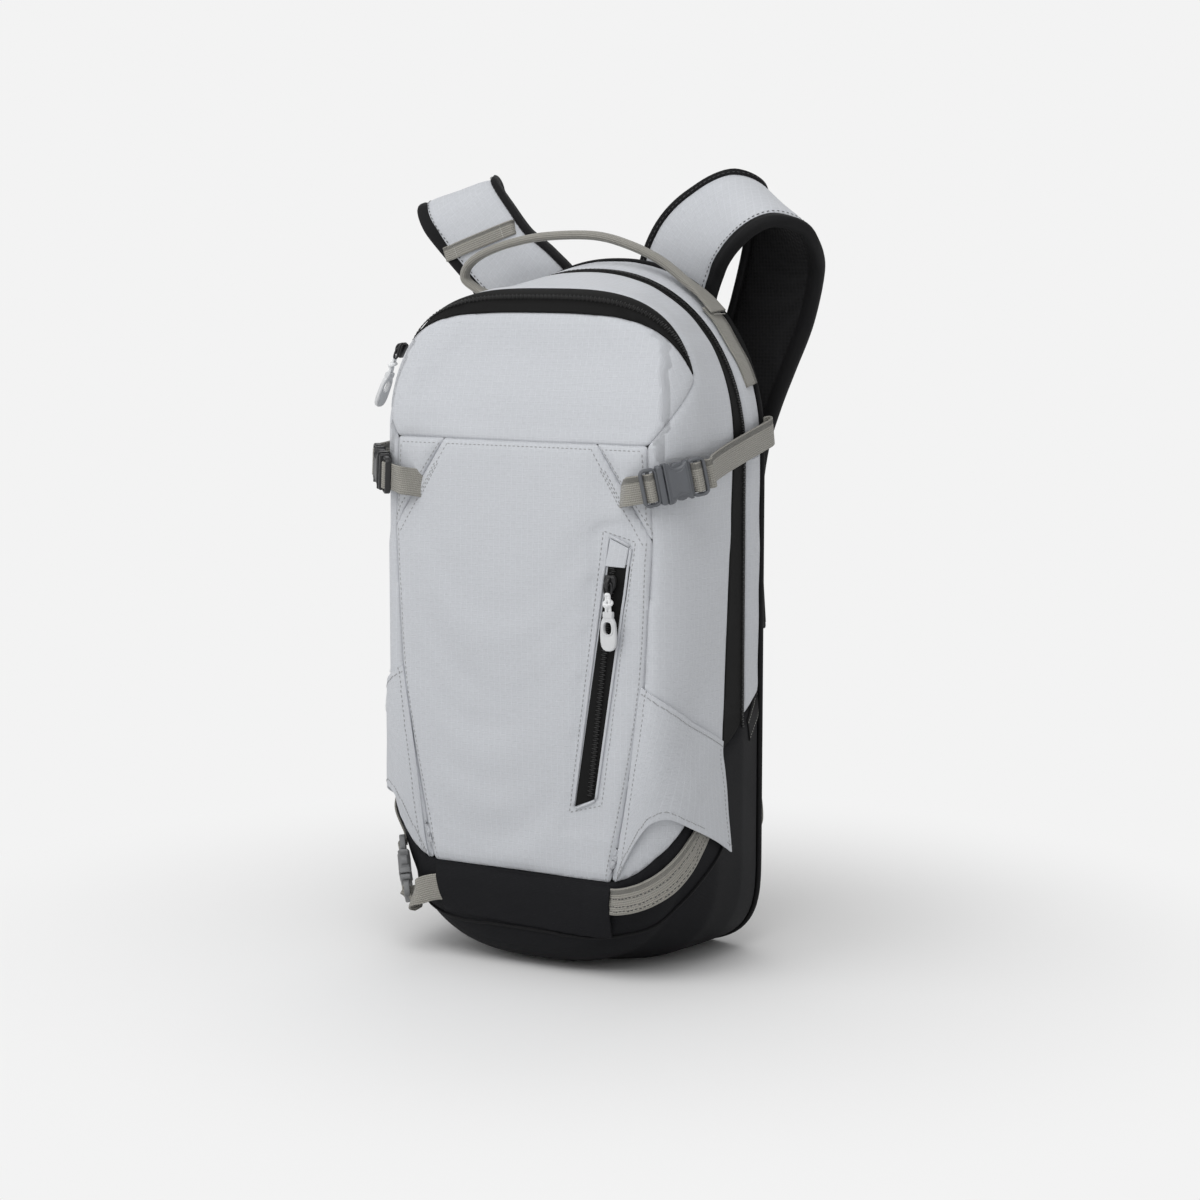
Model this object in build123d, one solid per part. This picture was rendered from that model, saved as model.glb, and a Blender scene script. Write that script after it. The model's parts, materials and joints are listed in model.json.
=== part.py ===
"""Ski backpack of about 12 litres: sewn shell panels, padded straps, zips, webbing and buckles.

Millimetres. +Z is up, -Y is the front panel, +Y is the wearer's side, and the origin is the middle of
the flat base.
"""

import os
from math import cos, pi, radians, sin

from build123d import *

os.makedirs("parts", exist_ok=True)

# ---- driving dimensions -------------------------------------------------------------------------
FRONT_Y, BACK_Y = -74.0, 60.0  # outer face of the front panel, and where the back panel starts
GOGGLE_ZIP_Y, MAIN_ZIP_Y = -42.0, 25.0  # planes that the two arched zips lie in
ZIP_HALF = 6.0  # half the width of an arched zip's tape
CLOTH = 3.0  # shell panel with its foam and lining
BASE_CLOTH = 5.0  # reinforced base
SEAM_Z = 363.0  # seam between the front panel and the goggle pocket
FLAP_Z = 398.0  # fold line of the goggle pocket's face
BASE_FRONT_Z, BASE_SLOPE = 69.0, 0.8  # the black base rises from here towards the back
GOGGLE_ZIP_END_Z = 415.0
WEB, WEB_T = 20.0, 1.5  # webbing width and thickness
BACK_FOAM = 8.0
PAD_Y = BACK_Y + BACK_FOAM  # rear face of the back panel
PAD_T = 5.0
STRAP_T = 8.0
CLEAR = 0.4  # gap between pieces that move against each other
BIG = 700.0

# Front-view outline of the shell at each station along Y. Each holds the half width, the top, the height
# where the dome starts, the dome's power, the bottom, the height where the bottom starts, and its power.
STATIONS = {
    -74.0: (94.0, 436.0, 380.0, 3.0, 30.0, 235.0, 2.6),
    -68.0: (104.0, 452.0, 370.0, 3.2, 17.0, 205.0, 2.7),
    -42.0: (117.0, 463.0, 350.0, 3.3, 3.0, 145.0, 2.8),
    -10.0: (119.0, 469.0, 350.0, 2.6, -2.0, 95.0, 3.2),
    25.0: (119.0, 476.0, 350.0, 2.1, -2.0, 80.0, 3.4),
    60.0: (114.0, 482.0, 350.0, 2.2, -2.0, 75.0, 4.0),
}
ARCH_POINTS = 14  # steps along each of the outline's two arches


def save(name, *solids):
    """Writes one node from one or more closed solids."""
    flat = [s for item in solids for s in item.solids()]
    export_step(flat[0] if len(flat) == 1 else Compound(children=flat), f"parts/{name}.step")


def box(x0, x1, y0, y1, z0, z1):
    """Box between two corners."""
    return Pos((x0 + x1) / 2, (y0 + y1) / 2, (z0 + z1) / 2) * Box(x1 - x0, y1 - y0, z1 - z0)


def both_sides(solid):
    """A solid and its mirror image across the middle plane."""
    return [solid, mirror(solid, Plane.YZ)]


# ---- shell --------------------------------------------------------------------------------------
def station(y):
    """Outline values at any y, straight between the stations."""
    ys = sorted(STATIONS)
    y = min(max(y, ys[0]), ys[-1])
    for low, high in zip(ys, ys[1:]):
        if y <= high:
            t = (y - low) / (high - low)
            return [a + t * (b - a) for a, b in zip(STATIONS[low], STATIONS[high])]


def arch(half, reach, power, plane_y, middle, up):
    """Half superellipse from one flank over to the other, upright where it meets the flanks."""
    points = []
    for i in range(ARCH_POINTS + 1):
        angle = pi * i / ARCH_POINTS
        c, s = cos(angle), sin(angle)
        r = (abs(c) ** power + abs(s) ** power) ** (-1 / power)
        points.append(Vector(half * r * c, plane_y, middle + up * reach * r * s))
    return Spline(*points, tangents=[(0, 0, up), (0, 0, -up)])


def outline(y, inset=0.0, at_y=None):
    """Closed outline of the shell at y, taken in by inset, drawn in the plane at_y."""
    half, top, dome, dome_n, bottom, floor, floor_n = station(y)
    half, top, bottom = half - inset, top - inset, bottom + inset
    plane_y = y if at_y is None else at_y
    over = arch(half, top - dome, dome_n, plane_y, dome, 1)
    under = arch(half, floor - bottom, floor_n, plane_y, floor, -1)
    flanks = [Line((s * half, plane_y, floor), (s * half, plane_y, dome)) for s in (1, -1)]
    return Face(Wire([over, flanks[1], under, flanks[0]]))


def loft_shell(inset, front, back):
    """Solid inside the outline taken in by inset, from y front to y back."""
    between = [y for y in sorted(STATIONS) if front < y < back]
    ys = [front, *between, back]
    return loft([outline(y, inset) for y in ys], ruled=True)


def lofted_layer(out, thick):
    """A layer of that thickness that lies out from the shell's surface."""
    return loft_shell(-out - thick, FRONT_Y, BACK_Y) - loft_shell(-out, FRONT_Y - 1, BACK_Y + 1)


def shell_room(thick):
    """Space inside walls of that thickness, open at the back."""
    sections = [outline(FRONT_Y, thick, FRONT_Y + thick)]
    sections += [outline(y, thick) for y in sorted(STATIONS)[1:-1]]
    sections.append(outline(BACK_Y, thick, BACK_Y + 1))
    return loft(sections, ruled=True)


body = loft_shell(0, FRONT_Y, BACK_Y)
cloth = body - shell_room(CLOTH)


def base_top(y):
    """Height of the black base's upper edge at y."""
    return BASE_FRONT_Z + BASE_SLOPE * (y - FRONT_Y)


def above_base(gap=0.0):
    """Everything above the base's sloping upper edge."""
    y0, y1 = FRONT_Y - 40, BACK_Y + 60
    profile = Polyline((y0, base_top(y0) + gap), (y1, base_top(y1) + gap), (y1, BIG), (y0, BIG), close=True)
    return extrude(Plane.YZ * make_face(profile), BIG / 2, both=True)


def slab(y0, y1, z0=-10.0, z1=BIG):
    """Slice of space between two planes of y, and of z."""
    return box(-BIG / 2, BIG / 2, y0, y1, z0, z1)


upper = cloth & above_base()
pod_back = GOGGLE_ZIP_Y - ZIP_HALF
save("front_panel", upper & slab(FRONT_Y - 5, pod_back, 0, SEAM_Z))
save("goggle_pocket_lower", upper & slab(FRONT_Y - 5, pod_back, SEAM_Z, FLAP_Z))
save("goggle_pocket_flap", upper & slab(FRONT_Y - 5, pod_back - CLEAR, FLAP_Z + CLEAR))
zip_end = slab(GOGGLE_ZIP_Y - ZIP_HALF, GOGGLE_ZIP_Y + ZIP_HALF, GOGGLE_ZIP_END_Z)
save("goggle_zip_tape", upper & zip_end)
save("front_gusset", (upper & slab(pod_back, MAIN_ZIP_Y - ZIP_HALF)) - zip_end)
save("main_zip_tape", upper & slab(MAIN_ZIP_Y - ZIP_HALF, MAIN_ZIP_Y + ZIP_HALF))
save("rear_gusset", upper & slab(MAIN_ZIP_Y + ZIP_HALF, BACK_Y + 5))
base = (body & slab(FRONT_Y - 5, BACK_Y + 5, 0)) - above_base() - shell_room(BASE_CLOTH)
save("base_tub", base)

# ---- back panel and what is inside --------------------------------------------------------------
def plate(y, thick, inset, z0=-BIG, z1=BIG):
    """Flat plate with the shell's outline taken in by inset, from y towards the back."""
    face = outline(min(y, BACK_Y), inset, y)
    return extrude(face, thick, dir=(0, 1, 0)) & slab(y - 1, y + thick + 1, z0, z1)


save("back_panel", plate(BACK_Y, BACK_FOAM, 1.0, z0=0.0))
save("frame_sheet", plate(BACK_Y - 2.0, 1.5, 9.0))
sleeve_y = BACK_Y - 14
save("hydration_sleeve", plate(sleeve_y, 1.5, 12.0, 25, 350))
lining_y = GOGGLE_ZIP_Y + ZIP_HALF
POCKET_FLOOR_Z = 290.0
lining = plate(lining_y, 1.5, CLOTH + 2.5, POCKET_FLOOR_Z)
pocket_room = loft_shell(CLOTH + 2.5, FRONT_Y + CLOTH + 2.5, lining_y)
pocket_floor = pocket_room & slab(-BIG / 2, BIG / 2, POCKET_FLOOR_Z, POCKET_FLOOR_Z + 1.5)
save("goggle_pocket_lining", lining + pocket_floor)


def pad(width, height, x, z, round_to=16.0):
    """Padded block on the back panel."""
    face = Plane.XZ * (Pos(x, z) * RectangleRounded(width, height, round_to))
    return Pos(0, PAD_Y + PAD_T, 0) * extrude(face, PAD_T)


COLUMN_X = 52.0
save("back_pads", *both_sides(pad(74, 210, COLUMN_X, 265)), pad(178, 78, 0, 100))

# ---- overlays on the shell ----------------------------------------------------------------------
COVER_HALF, COVER_LOW = 70.0, 31.0
cover = extrude(Plane.XZ * make_face(Polyline((-COVER_HALF + 2, COVER_LOW), (COVER_HALF, COVER_LOW),
                                              (COVER_HALF, BASE_FRONT_Z), (-COVER_HALF, BASE_FRONT_Z),
                                              close=True)), 2.0)
save("base_front_cover", Pos(0, FRONT_Y - 0.5, 0) * cover)

# side wings over the ski loops: outline in side view, with the arched cut-out along the bottom
WING_OUT, WING_T = 0.6, 1.5
wing_side = (Polyline((-68, 78), (-68, 202), (8, 157), (3, 80)) + Line((3, 80), (-36, 97))
             + ThreePointArc((-36, 97), (-52, 103), (-62, 92)) + Line((-62, 92), (-68, 78)))
wing_region = extrude(Plane.YZ * make_face(wing_side), BIG / 2)
wing = lofted_layer(WING_OUT, WING_T) & wing_region
save("ski_wing_right", wing)
save("ski_wing_left", mirror(wing, Plane.YZ))

# corner tabs: triangles that carry the short webbing of the compression straps
tab_face = make_face(Polyline((62, SEAM_Z), (93, SEAM_Z), (98, 352), (98, 304), close=True))
tab = Pos(0, FRONT_Y - 0.3, 0) * extrude(Plane.XZ * tab_face, 1.2)
save("corner_tabs", *both_sides(tab))

# ---- front pocket zip: a straight strip that leans inwards as it goes down -----------------------
FRONT_ZIP_TOP = (73.0, 298.0)
FRONT_ZIP_LOW = (53.0, 120.0)
FRONT_ZIP_HALF = 7.0
GARAGE_LENGTH = 18.0
front_zip_run = Vector(FRONT_ZIP_LOW[0] - FRONT_ZIP_TOP[0], 0, FRONT_ZIP_LOW[1] - FRONT_ZIP_TOP[1])
zip_down = front_zip_run.normalized()
front_zip_start = (FRONT_ZIP_TOP[0], FRONT_Y, FRONT_ZIP_TOP[1])
front_zip_plane = Plane(origin=front_zip_start, x_dir=zip_down, z_dir=(0, -1, 0))


def on_front_zip(u0, u1, half, n0, n1):
    """Box along the front zip: u runs down the zip from its top, n out from the panel."""
    return front_zip_plane * box(u0, u1, -half, half, n0, n1)


save("front_zip_tape", on_front_zip(GARAGE_LENGTH, front_zip_run.length, FRONT_ZIP_HALF, 0.0, 1.2))
save("front_zip_garage", on_front_zip(0, GARAGE_LENGTH - 0.2, FRONT_ZIP_HALF + 0.5, 0.0, 2.4))

# side zip on the left flank, over the wing
SIDE_ZIP_X = -119.0
SIDE_ZIP_LOW, SIDE_ZIP_TOP = (-40.0, 196.0), (-18.0, 322.0)
side_run = Vector(0, SIDE_ZIP_TOP[0] - SIDE_ZIP_LOW[0], SIDE_ZIP_TOP[1] - SIDE_ZIP_LOW[1])
side_zip_plane = Plane(origin=(SIDE_ZIP_X, *SIDE_ZIP_LOW), x_dir=side_run.normalized(), z_dir=(-1, 0, 0))
save("side_zip_tape", side_zip_plane * box(0, side_run.length, -6, 6, 0.3, 1.5))


# ---- zip sliders and pulls ----------------------------------------------------------------------
SLIDER_LONG, SLIDER_HALF, SLIDER_T = 11.0, 4.2, 3.0
BRIDGE_T = 1.2
PULL_LONG, PULL_HALF, PULL_T = 44.0, 4.6, 2.2


def zip_slider(where):
    """Slider body with its bridge. Local x points the way the pull hangs, local z out of the tape."""
    body_ = fillet(box(-SLIDER_LONG / 2, SLIDER_LONG / 2, -SLIDER_HALF, SLIDER_HALF, 0, SLIDER_T).edges()
                   .filter_by(Axis.Z), 1.8)
    posts = box(-4, -2.6, -1.2, 1.2, SLIDER_T, SLIDER_T + 2.6)
    posts += box(2.6, 4, -1.2, 1.2, SLIDER_T, SLIDER_T + 2.6)
    bridge = box(-4, 4, -1.2, 1.2, SLIDER_T + 2.6, SLIDER_T + 2.6 + BRIDGE_T)
    return where * (body_ + posts + bridge)


def zip_pull(where):
    """Ring in the bridge, cord, and a moulded tab with a finger hole, all on one hinge."""
    eye = SLIDER_T + 1.3
    bar = Pos(0, 0, eye) * Rot(90, 0, 0) * Cylinder(0.8, 5.0)
    arms = [box(-0.8, 7, side - 0.7, side + 0.7, eye - 0.8, eye + 0.8) for side in (-2.6, 2.6)]
    cord = box(6.5, 20, -1.7, 1.7, eye - 0.8, eye + 0.8)
    hole = Pos(27, 0, eye) * extrude(SlotOverall(7.5, 4.0), 10, both=True)
    grip = Pos(31, 0, eye - PULL_T / 2) * extrude(SlotOverall(27, 2 * PULL_HALF), PULL_T) - hole
    link = box(5.4, 7, -3.3, 3.3, eye - 0.8, eye + 0.8)
    return where * (bar + arms[0] + arms[1] + link + cord + grip)


FRONT_SLIDER_U = GARAGE_LENGTH + 12.0
front_slider_at = front_zip_plane * Pos(FRONT_SLIDER_U, 0, 1.2 + CLEAR)
save("front_zip_slider", zip_slider(front_slider_at))
save("front_zip_pull", zip_pull(front_slider_at))

# the goggle pocket's slider follows a round shoulder of the zip
SHOULDER_X, SHOULDER_Z, SHOULDER_R = 43.0, 388.0, 75.0
SHOULDER_REST = radians(24.0)  # how far round from the side the slider waits
goggle_out = Vector(-cos(SHOULDER_REST), 0, sin(SHOULDER_REST))
goggle_along = Vector(-sin(SHOULDER_REST), 0, -cos(SHOULDER_REST))
goggle_at = Vector(-SHOULDER_X, GOGGLE_ZIP_Y, SHOULDER_Z) + goggle_out * (SHOULDER_R + 2.2)
goggle_slider_at = Plane(origin=goggle_at, x_dir=goggle_along, z_dir=goggle_out)
save("goggle_zip_slider", zip_slider(goggle_slider_at))
save("goggle_zip_pull", zip_pull(goggle_slider_at))

MAIN_SLIDER_Z = 172.0
main_slider_at = Plane(origin=(-119.0 - CLEAR - 0.3, MAIN_ZIP_Y, MAIN_SLIDER_Z), x_dir=(0, 0, -1),
                       z_dir=(-1, 0, 0))
save("main_zip_slider", zip_slider(main_slider_at))
save("main_zip_pull", zip_pull(main_slider_at))

SIDE_SLIDER_U = 10.0
side_slider_at = side_zip_plane * Pos(SIDE_SLIDER_U, 0, 1.5 + CLEAR) * Rot(0, 0, 180)
save("side_zip_slider", zip_slider(side_slider_at))
save("side_zip_pull", zip_pull(side_slider_at))


# ---- webbing ------------------------------------------------------------------------------------
def ribbon(points, across, width, thick):
    """Band through points. across gives the width direction at each point; width may be a list."""
    widths = width if isinstance(width, (list, tuple)) else [width] * len(points)
    rings = []
    for i, (point, side, w) in enumerate(zip(points, across, widths)):
        before, after = points[max(i - 1, 0)], points[min(i + 1, len(points) - 1)]
        along = (Vector(*after) - Vector(*before)).normalized()
        side = Vector(*side)
        side = (side - along * side.dot(along)).normalized() * (w / 2)
        out = along.cross(side).normalized() * (thick / 2)
        middle = Vector(*point)
        rings.append([middle + side + out, middle - side + out, middle - side - out, middle + side - out])
    quads = [(a[j], a[(j + 1) % 4], b[(j + 1) % 4], b[j]) for a, b in zip(rings, rings[1:]) for j in range(4)]
    quads += [rings[0], rings[-1]]
    triangles = [corners for q in quads for corners in ((q[0], q[1], q[2]), (q[0], q[2], q[3]))]
    return Solid(Shell([Face(Wire.make_polygon(corners, close=True)) for corners in triangles]))


# ---- side release buckle ------------------------------------------------------------------------
# local x runs from the plug to the socket, y across the webbing, z away from the pack
BUCKLE_HALF, SOCKET_LONG, BUCKLE_T = 13.0, 17.0, 4.2
MOUTH, PRONG_T = -4.0, 2.2
FRAME_LONG = 12.0


def ladder_frame(x0, half, flip=1):
    """Frame with two slots and a bar between them."""
    frame = box(0, FRAME_LONG, -half, half, -2.0, 2.0)
    slots = box(2.0, 5.2, -half + 2, half - 2, -3, 3) + box(7.2, 10.2, -half + 2, half - 2, -3, 3)
    return Pos(x0, 0, 0) * (Rot(0, 0, 0 if flip > 0 else 180) * (frame - slots))


def socket(where, scale_=1.0):
    """Female half: a box open at the mouth, windows for the prongs, and the webbing frame."""
    half = BUCKLE_HALF * scale_
    shell_ = box(MOUTH, MOUTH + SOCKET_LONG, -half, half, -BUCKLE_T, BUCKLE_T)
    shell_ = fillet(shell_.edges().filter_by(Axis.X), 2.0)
    room = box(MOUTH - 1, MOUTH + SOCKET_LONG - 2, -half + 1.8, half - 1.8, -2.8, 2.8)
    windows = box(1.0, 9.0, -half - 1, half + 1, -2.8, 2.8)
    return where * (shell_ - room - windows + ladder_frame(MOUTH + SOCKET_LONG, half - 0.5))


def plug(where, scale_=1.0):
    """Male half: base, centre guide, two prongs, and the webbing frame."""
    half = BUCKLE_HALF * scale_
    base_x = MOUTH - CLEAR
    base_ = fillet(box(base_x - 4, base_x, -half + 0.5, half - 0.5, -3.6, 3.6).edges().filter_by(Axis.Z), 1.2)
    guide = box(base_x, 8.0, -1.5, 1.5, -PRONG_T, PRONG_T)
    prong = box(base_x, 9.5, half - 5.6, half - 2.3, -PRONG_T, PRONG_T)
    prongs = prong + mirror(prong, Plane.XZ)
    return where * (base_ + guide + prongs + ladder_frame(base_x - 4, half - 0.5, flip=-1))


def facing(at, along, out):
    """Plane whose x runs along a strap and whose z points out from the pack."""
    along = Vector(*along).normalized()
    out = Vector(*out)
    return Plane(origin=at, x_dir=along, z_dir=(out - along * out.dot(along)).normalized())


# compression straps across the corners
STRAP_ALONG, STRAP_OUT = (0.69, 0.67, 0.20), (0.70, -0.71, 0.0)
BUCKLE_AT = (113.5, -69.5, 339.0)
buckle_right = facing(BUCKLE_AT, STRAP_ALONG, STRAP_OUT)
save("compression_socket_right", socket(buckle_right))
save("compression_plug_right", plug(buckle_right))
save("compression_socket_left", mirror(socket(buckle_right), Plane.YZ))
save("compression_plug_left", mirror(plug(buckle_right), Plane.YZ))

tab_web = ribbon([(64, -76.6, 328.5), (78, -78.6, 331), (86, -82.5, 332.5), (92.4, -88.0, 334.2)],
                 [(-0.25, 0, 1)] * 4, WEB, WEB_T)
save("compression_tabs", *both_sides(tab_web))
side_web = ribbon([(131.5, -50.5, 344.5), (128, -36, 347), (124, -12, 351.5), (122.6, 20, 357.5),
                   (120.3, 48, 362.5), (116.5, 62, 365)], [(0, -0.2, 1)] * 6, WEB, WEB_T)
save("compression_strap_right", side_web)
save("compression_strap_left", mirror(side_web, Plane.YZ))

# ski loop on the right, and the buckled strap on the left, both in front of the base
loop_points = [(72.4, -77.8, 55.5), (82, -78.6, 57.5), (96, -75.5, 63.5), (109, -66, 72), (117, -52, 82),
               (121, -38, 89.5)]
loop_across = [(0.0, 0.1, 1), (-0.05, 0.1, 1), (-0.2, 0.0, 1), (-0.3, -0.2, 1), (-0.2, -0.5, 1),
               (-0.1, -0.7, 1)]
save("ski_loop", ribbon(loop_points, loop_across, 18.0, 2.4))

LOWER_AT = (-101.0, -64.5, 54.5)
LOWER_ALONG, LOWER_OUT = (-0.34, 0.36, 0.87), (-0.85, -0.52, 0.0)
lower_buckle = facing(LOWER_AT, LOWER_ALONG, LOWER_OUT)
save("lower_socket", socket(lower_buckle, 0.9))
save("lower_plug", plug(lower_buckle, 0.9))
lower_stub = ribbon([(-71.2, -75.9, 47.5), (-76, -76.9, 46), (-80.5, -77.3, 44), (-85, -77.2, 41.5)],
                    [(0, 0.1, 1)] * 4, WEB, WEB_T)
lower_lead = ribbon([(-112.5, -53.5, 78.1), (-117.8, -47, 91), (-122.8, -40, 104), (-124.8, -32, 116)],
                    [(0, 0.85, -0.5)] * 4, 16, WEB_T)
save("lower_stub", lower_stub)
save("lower_lead", lower_lead)

# ---- shoulder straps ----------------------------------------------------------------------------
# centre line of each strap with the direction across it and its width; the left one falls further out
RIGHT_STRAP = [
    ((34, 76.5, 425), (1, 0, 0), 60),
    ((37, 76.0, 458), (1, 0, -0.2), 63),
    ((48, 75.5, 487), (1, -0.1, -0.45), 66),
    ((68, 73.5, 508), (0.85, -0.35, -0.6), 66),
    ((90, 73.0, 520), (0.68, -0.51, -0.58), 66),
    ((106, 84.0, 521), (0.58, -0.65, -0.4), 66),
    ((113, 98.0, 509), (0.75, -0.5, -0.15), 66),
    ((106, 110.0, 484), (1, -0.15, 0.1), 65),
    ((95, 116.0, 449), (1, 0, 0.25), 64),
    ((82, 117.0, 415), (1, 0, 0.35), 63),
    ((72, 114.5, 383), (1, 0, 0.25), 61),
    ((66, 109.0, 350), (1, 0, 0.12), 58),
    ((66, 101.5, 308), (1, 0, -0.05), 54),
    ((73, 94.0, 264), (1, 0, -0.15), 50),
    ((82, 87.5, 224), (1, 0, -0.12), 44),
]
LEFT_STRAP = [
    ((-50, 76.5, 425), (1, 0, 0), 60),
    ((-62, 75.0, 447), (1, 0, 0.4), 62),
    ((-80, 73.5, 465), (1, 0, 0.5), 64),
    ((-101, 72.0, 480), (1, 0, 0.4), 66),
    ((-120, 70.0, 501), (1, 0.1, 0.35), 66),
    ((-138, 70.0, 520), (1, 0.2, 0.4), 66),
    ((-146, 82.0, 527), (1, 0.15, 0.3), 66),
    ((-145, 98.0, 515), (1, 0.05, 0.1), 66),
    ((-135, 110.0, 487), (1, 0, -0.2), 65),
    ((-118, 116.0, 452), (1, 0, -0.35), 64),
    ((-102, 117.0, 417), (1, 0, -0.35), 63),
    ((-89, 114.5, 383), (1, 0, -0.25), 61),
    ((-81, 109.0, 350), (1, 0, -0.12), 58),
    ((-78, 101.5, 308), (1, 0, 0), 54),
    ((-79, 94.0, 264), (1, 0, 0.05), 50),
    ((-82, 87.5, 224), (1, 0, 0.1), 44),
]


def strap(stations):
    """Padded strap through its stations."""
    places, across, widths = zip(*stations)
    return ribbon(places, across, widths, STRAP_T)


save("shoulder_strap_right", strap(RIGHT_STRAP))
save("shoulder_strap_left", strap(LEFT_STRAP))

# hose keeper across the left strap's outer face
keeper = ribbon([(-148, 58.0, 486), (-119, 62.5, 497), (-90, 65.0, 508)], [(-0.6, 0, 0.8)] * 3, 10, 1.2)
save("hose_keeper", keeper)

# ladder locks at the strap ends: the lower edge lifts to let the webbing run
LOCK_TOP = (82.5, 88.0, 219.0)
lock_plane = facing(LOCK_TOP, (0.06, -0.12, -1), (0, 1, 0))
LOCK_HALF = 13.0


def ladder_lock(where):
    """Plate with two slots. Local x runs down the strap."""
    slot_half = LOCK_HALF - 2.4
    plate_ = box(0, 24, -LOCK_HALF, LOCK_HALF, -1.6, 1.6)
    slots = box(3, 7, -slot_half, slot_half, -3, 3) + box(12, 15.5, -slot_half, slot_half, -3, 3)
    lip = box(21, 27, -LOCK_HALF + 3, LOCK_HALF - 3, 0.2, 2.2)
    return where * (plate_ - slots + lip)


save("ladder_lock_right", ladder_lock(lock_plane))
save("ladder_lock_left", mirror(ladder_lock(lock_plane), Plane.YZ))
tail = ribbon([(84, 88.9, 204.0), (84.6, 91.0, 192), (86, 91.5, 160), (88, 90.0, 120)],
              [(1, 0, 0.1)] * 4, WEB, WEB_T)
save("adjuster_tail_right", tail)
save("adjuster_tail_left", mirror(tail, Plane.YZ))
lead = ribbon([(82.5, 83.6, 214), (84.5, 81.8, 190), (93, 77.5, 140), (101, 72.5, 104), (104, 69.6, 88)],
              [(1, 0, 0.1), (1, 0, 0.15), (1, 0, 0.22), (1, 0, 0.22), (1, 0, 0.2)], WEB, WEB_T)
save("adjuster_webbing", *both_sides(lead))

# ---- sternum strap ------------------------------------------------------------------------------
RAIL_XS, RAIL_HALF_Z, RAIL_Z = (-94.0, 78.0), 34.0, 396.0
RAIL_LEAN = Vector(0, 0.12, 1).normalized()
rail_planes = [Plane(origin=(x, 122.0, RAIL_Z), x_dir=(-1, 0, 0), z_dir=RAIL_LEAN) for x in RAIL_XS]
SLIDE_HALF_Z, SLIDE_HALF_X = 9.0, 8.0


def rail(where):
    """Flat rail sewn down the strap. Its local y points into the strap."""
    return where * box(-4, 4, -0.7, 0.7, -RAIL_HALF_Z, RAIL_HALF_Z)


def rail_clip(where):
    """Clip that runs on a rail: a plate in front of it and a lip on each side."""
    lip_in, lip_out = 4 + CLEAR, SLIDE_HALF_X
    plate_ = box(-SLIDE_HALF_X, SLIDE_HALF_X, -4.4, -0.7 - CLEAR, -SLIDE_HALF_Z, SLIDE_HALF_Z)
    lips = [box(*sorted((s * lip_in, s * lip_out)), -1.2, 0.6, -SLIDE_HALF_Z, SLIDE_HALF_Z) for s in (-1, 1)]
    return where * (plate_ + lips[0] + lips[1])


save("sternum_rails", *[rail(p) for p in rail_planes])
save("sternum_sliders", *[rail_clip(p) for p in rail_planes])
STERNUM_Y = 125.2
sternum_plane = Plane(origin=(0, STERNUM_Y + 3.4, RAIL_Z), x_dir=(-1, 0, 0), z_dir=(0, 1, 0))
save("sternum_socket", socket(sternum_plane, 0.9))
save("sternum_plug", plug(sternum_plane, 0.9))
left_web = box(RAIL_XS[0] + SLIDE_HALF_X, -25.5, STERNUM_Y - 1.5, STERNUM_Y, RAIL_Z - 8.5, RAIL_Z + 8.5)
right_web = box(17, RAIL_XS[1] - SLIDE_HALF_X, STERNUM_Y - 2.2, STERNUM_Y - 0.7, RAIL_Z - 8.5, RAIL_Z + 8.5)
save("sternum_webbing", left_web, right_web)

# ---- waist belt ---------------------------------------------------------------------------------
BELT_Z, BELT_Y = 44.0, 79.5
belt_plane = Plane(origin=(0, BELT_Y + 3.6, BELT_Z), x_dir=(-1, 0, 0), z_dir=(0, 1, 0))
save("waist_socket", socket(belt_plane, 1.15))
save("waist_plug", plug(belt_plane, 1.15))
belt_left = ribbon([(-106, 68.9, BELT_Z), (-98, 71.5, BELT_Z), (-84, BELT_Y - 0.5, BELT_Z),
                    (-26, BELT_Y, BELT_Z)], [(0, 0, 1)] * 4, 25, WEB_T)
belt_right = ribbon([(106, 68.9, BELT_Z), (98, 71.5, BELT_Z), (84, BELT_Y - 2.2, BELT_Z),
                     (17, BELT_Y - 2.2, BELT_Z)], [(0, 0, 1)] * 4, 25, WEB_T)
save("waist_webbing", belt_left, belt_right)

# ---- grab handle --------------------------------------------------------------------------------
ANCHOR_Y = 44.0
handle_line = [(-76, ANCHOR_Y, 460), (-96, 43.5, 460), (-114, 42, 462), (-116, 39, 471.5), (-104, 36, 482),
               (-79, 33, 492.5), (-43, 32, 499.5), (-4, 34, 499.5), (23, 38, 492.5), (46, 41, 481.5),
               (64, 43, 468.5), (73.5, ANCHOR_Y, 460)]
handle_widths = [9, 9, 9, 8, 8, 8, 8, 8, 8, 9, 9, 9]
save("grab_handle", ribbon(handle_line, [(0.05, 1, 0.1)] * len(handle_line), handle_widths, 5.0))
anchor = ribbon([(82, ANCHOR_Y, 450.5), (94, ANCHOR_Y, 438.5), (106.5, ANCHOR_Y, 420), (113, ANCHOR_Y, 404)],
                [(0, 1, 0)] * 4, WEB, WEB_T)
save("handle_anchors", *both_sides(anchor))

# ---- side label ---------------------------------------------------------------------------------
label = ribbon([(120.2, 34, 158), (119.6, 46, 167), (118.6, 58, 176)], [(0, -0.6, 0.8)] * 3, 14, 1.2)
save("side_label", label)
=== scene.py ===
"""Looks of the ski backpack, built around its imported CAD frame, in millimetres until a mesh is made."""

import json
import math

import bmesh
import bpy
import numpy as np
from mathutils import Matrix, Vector
from mathutils.bvhtree import BVHTree
from mathutils.kdtree import KDTree

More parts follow.
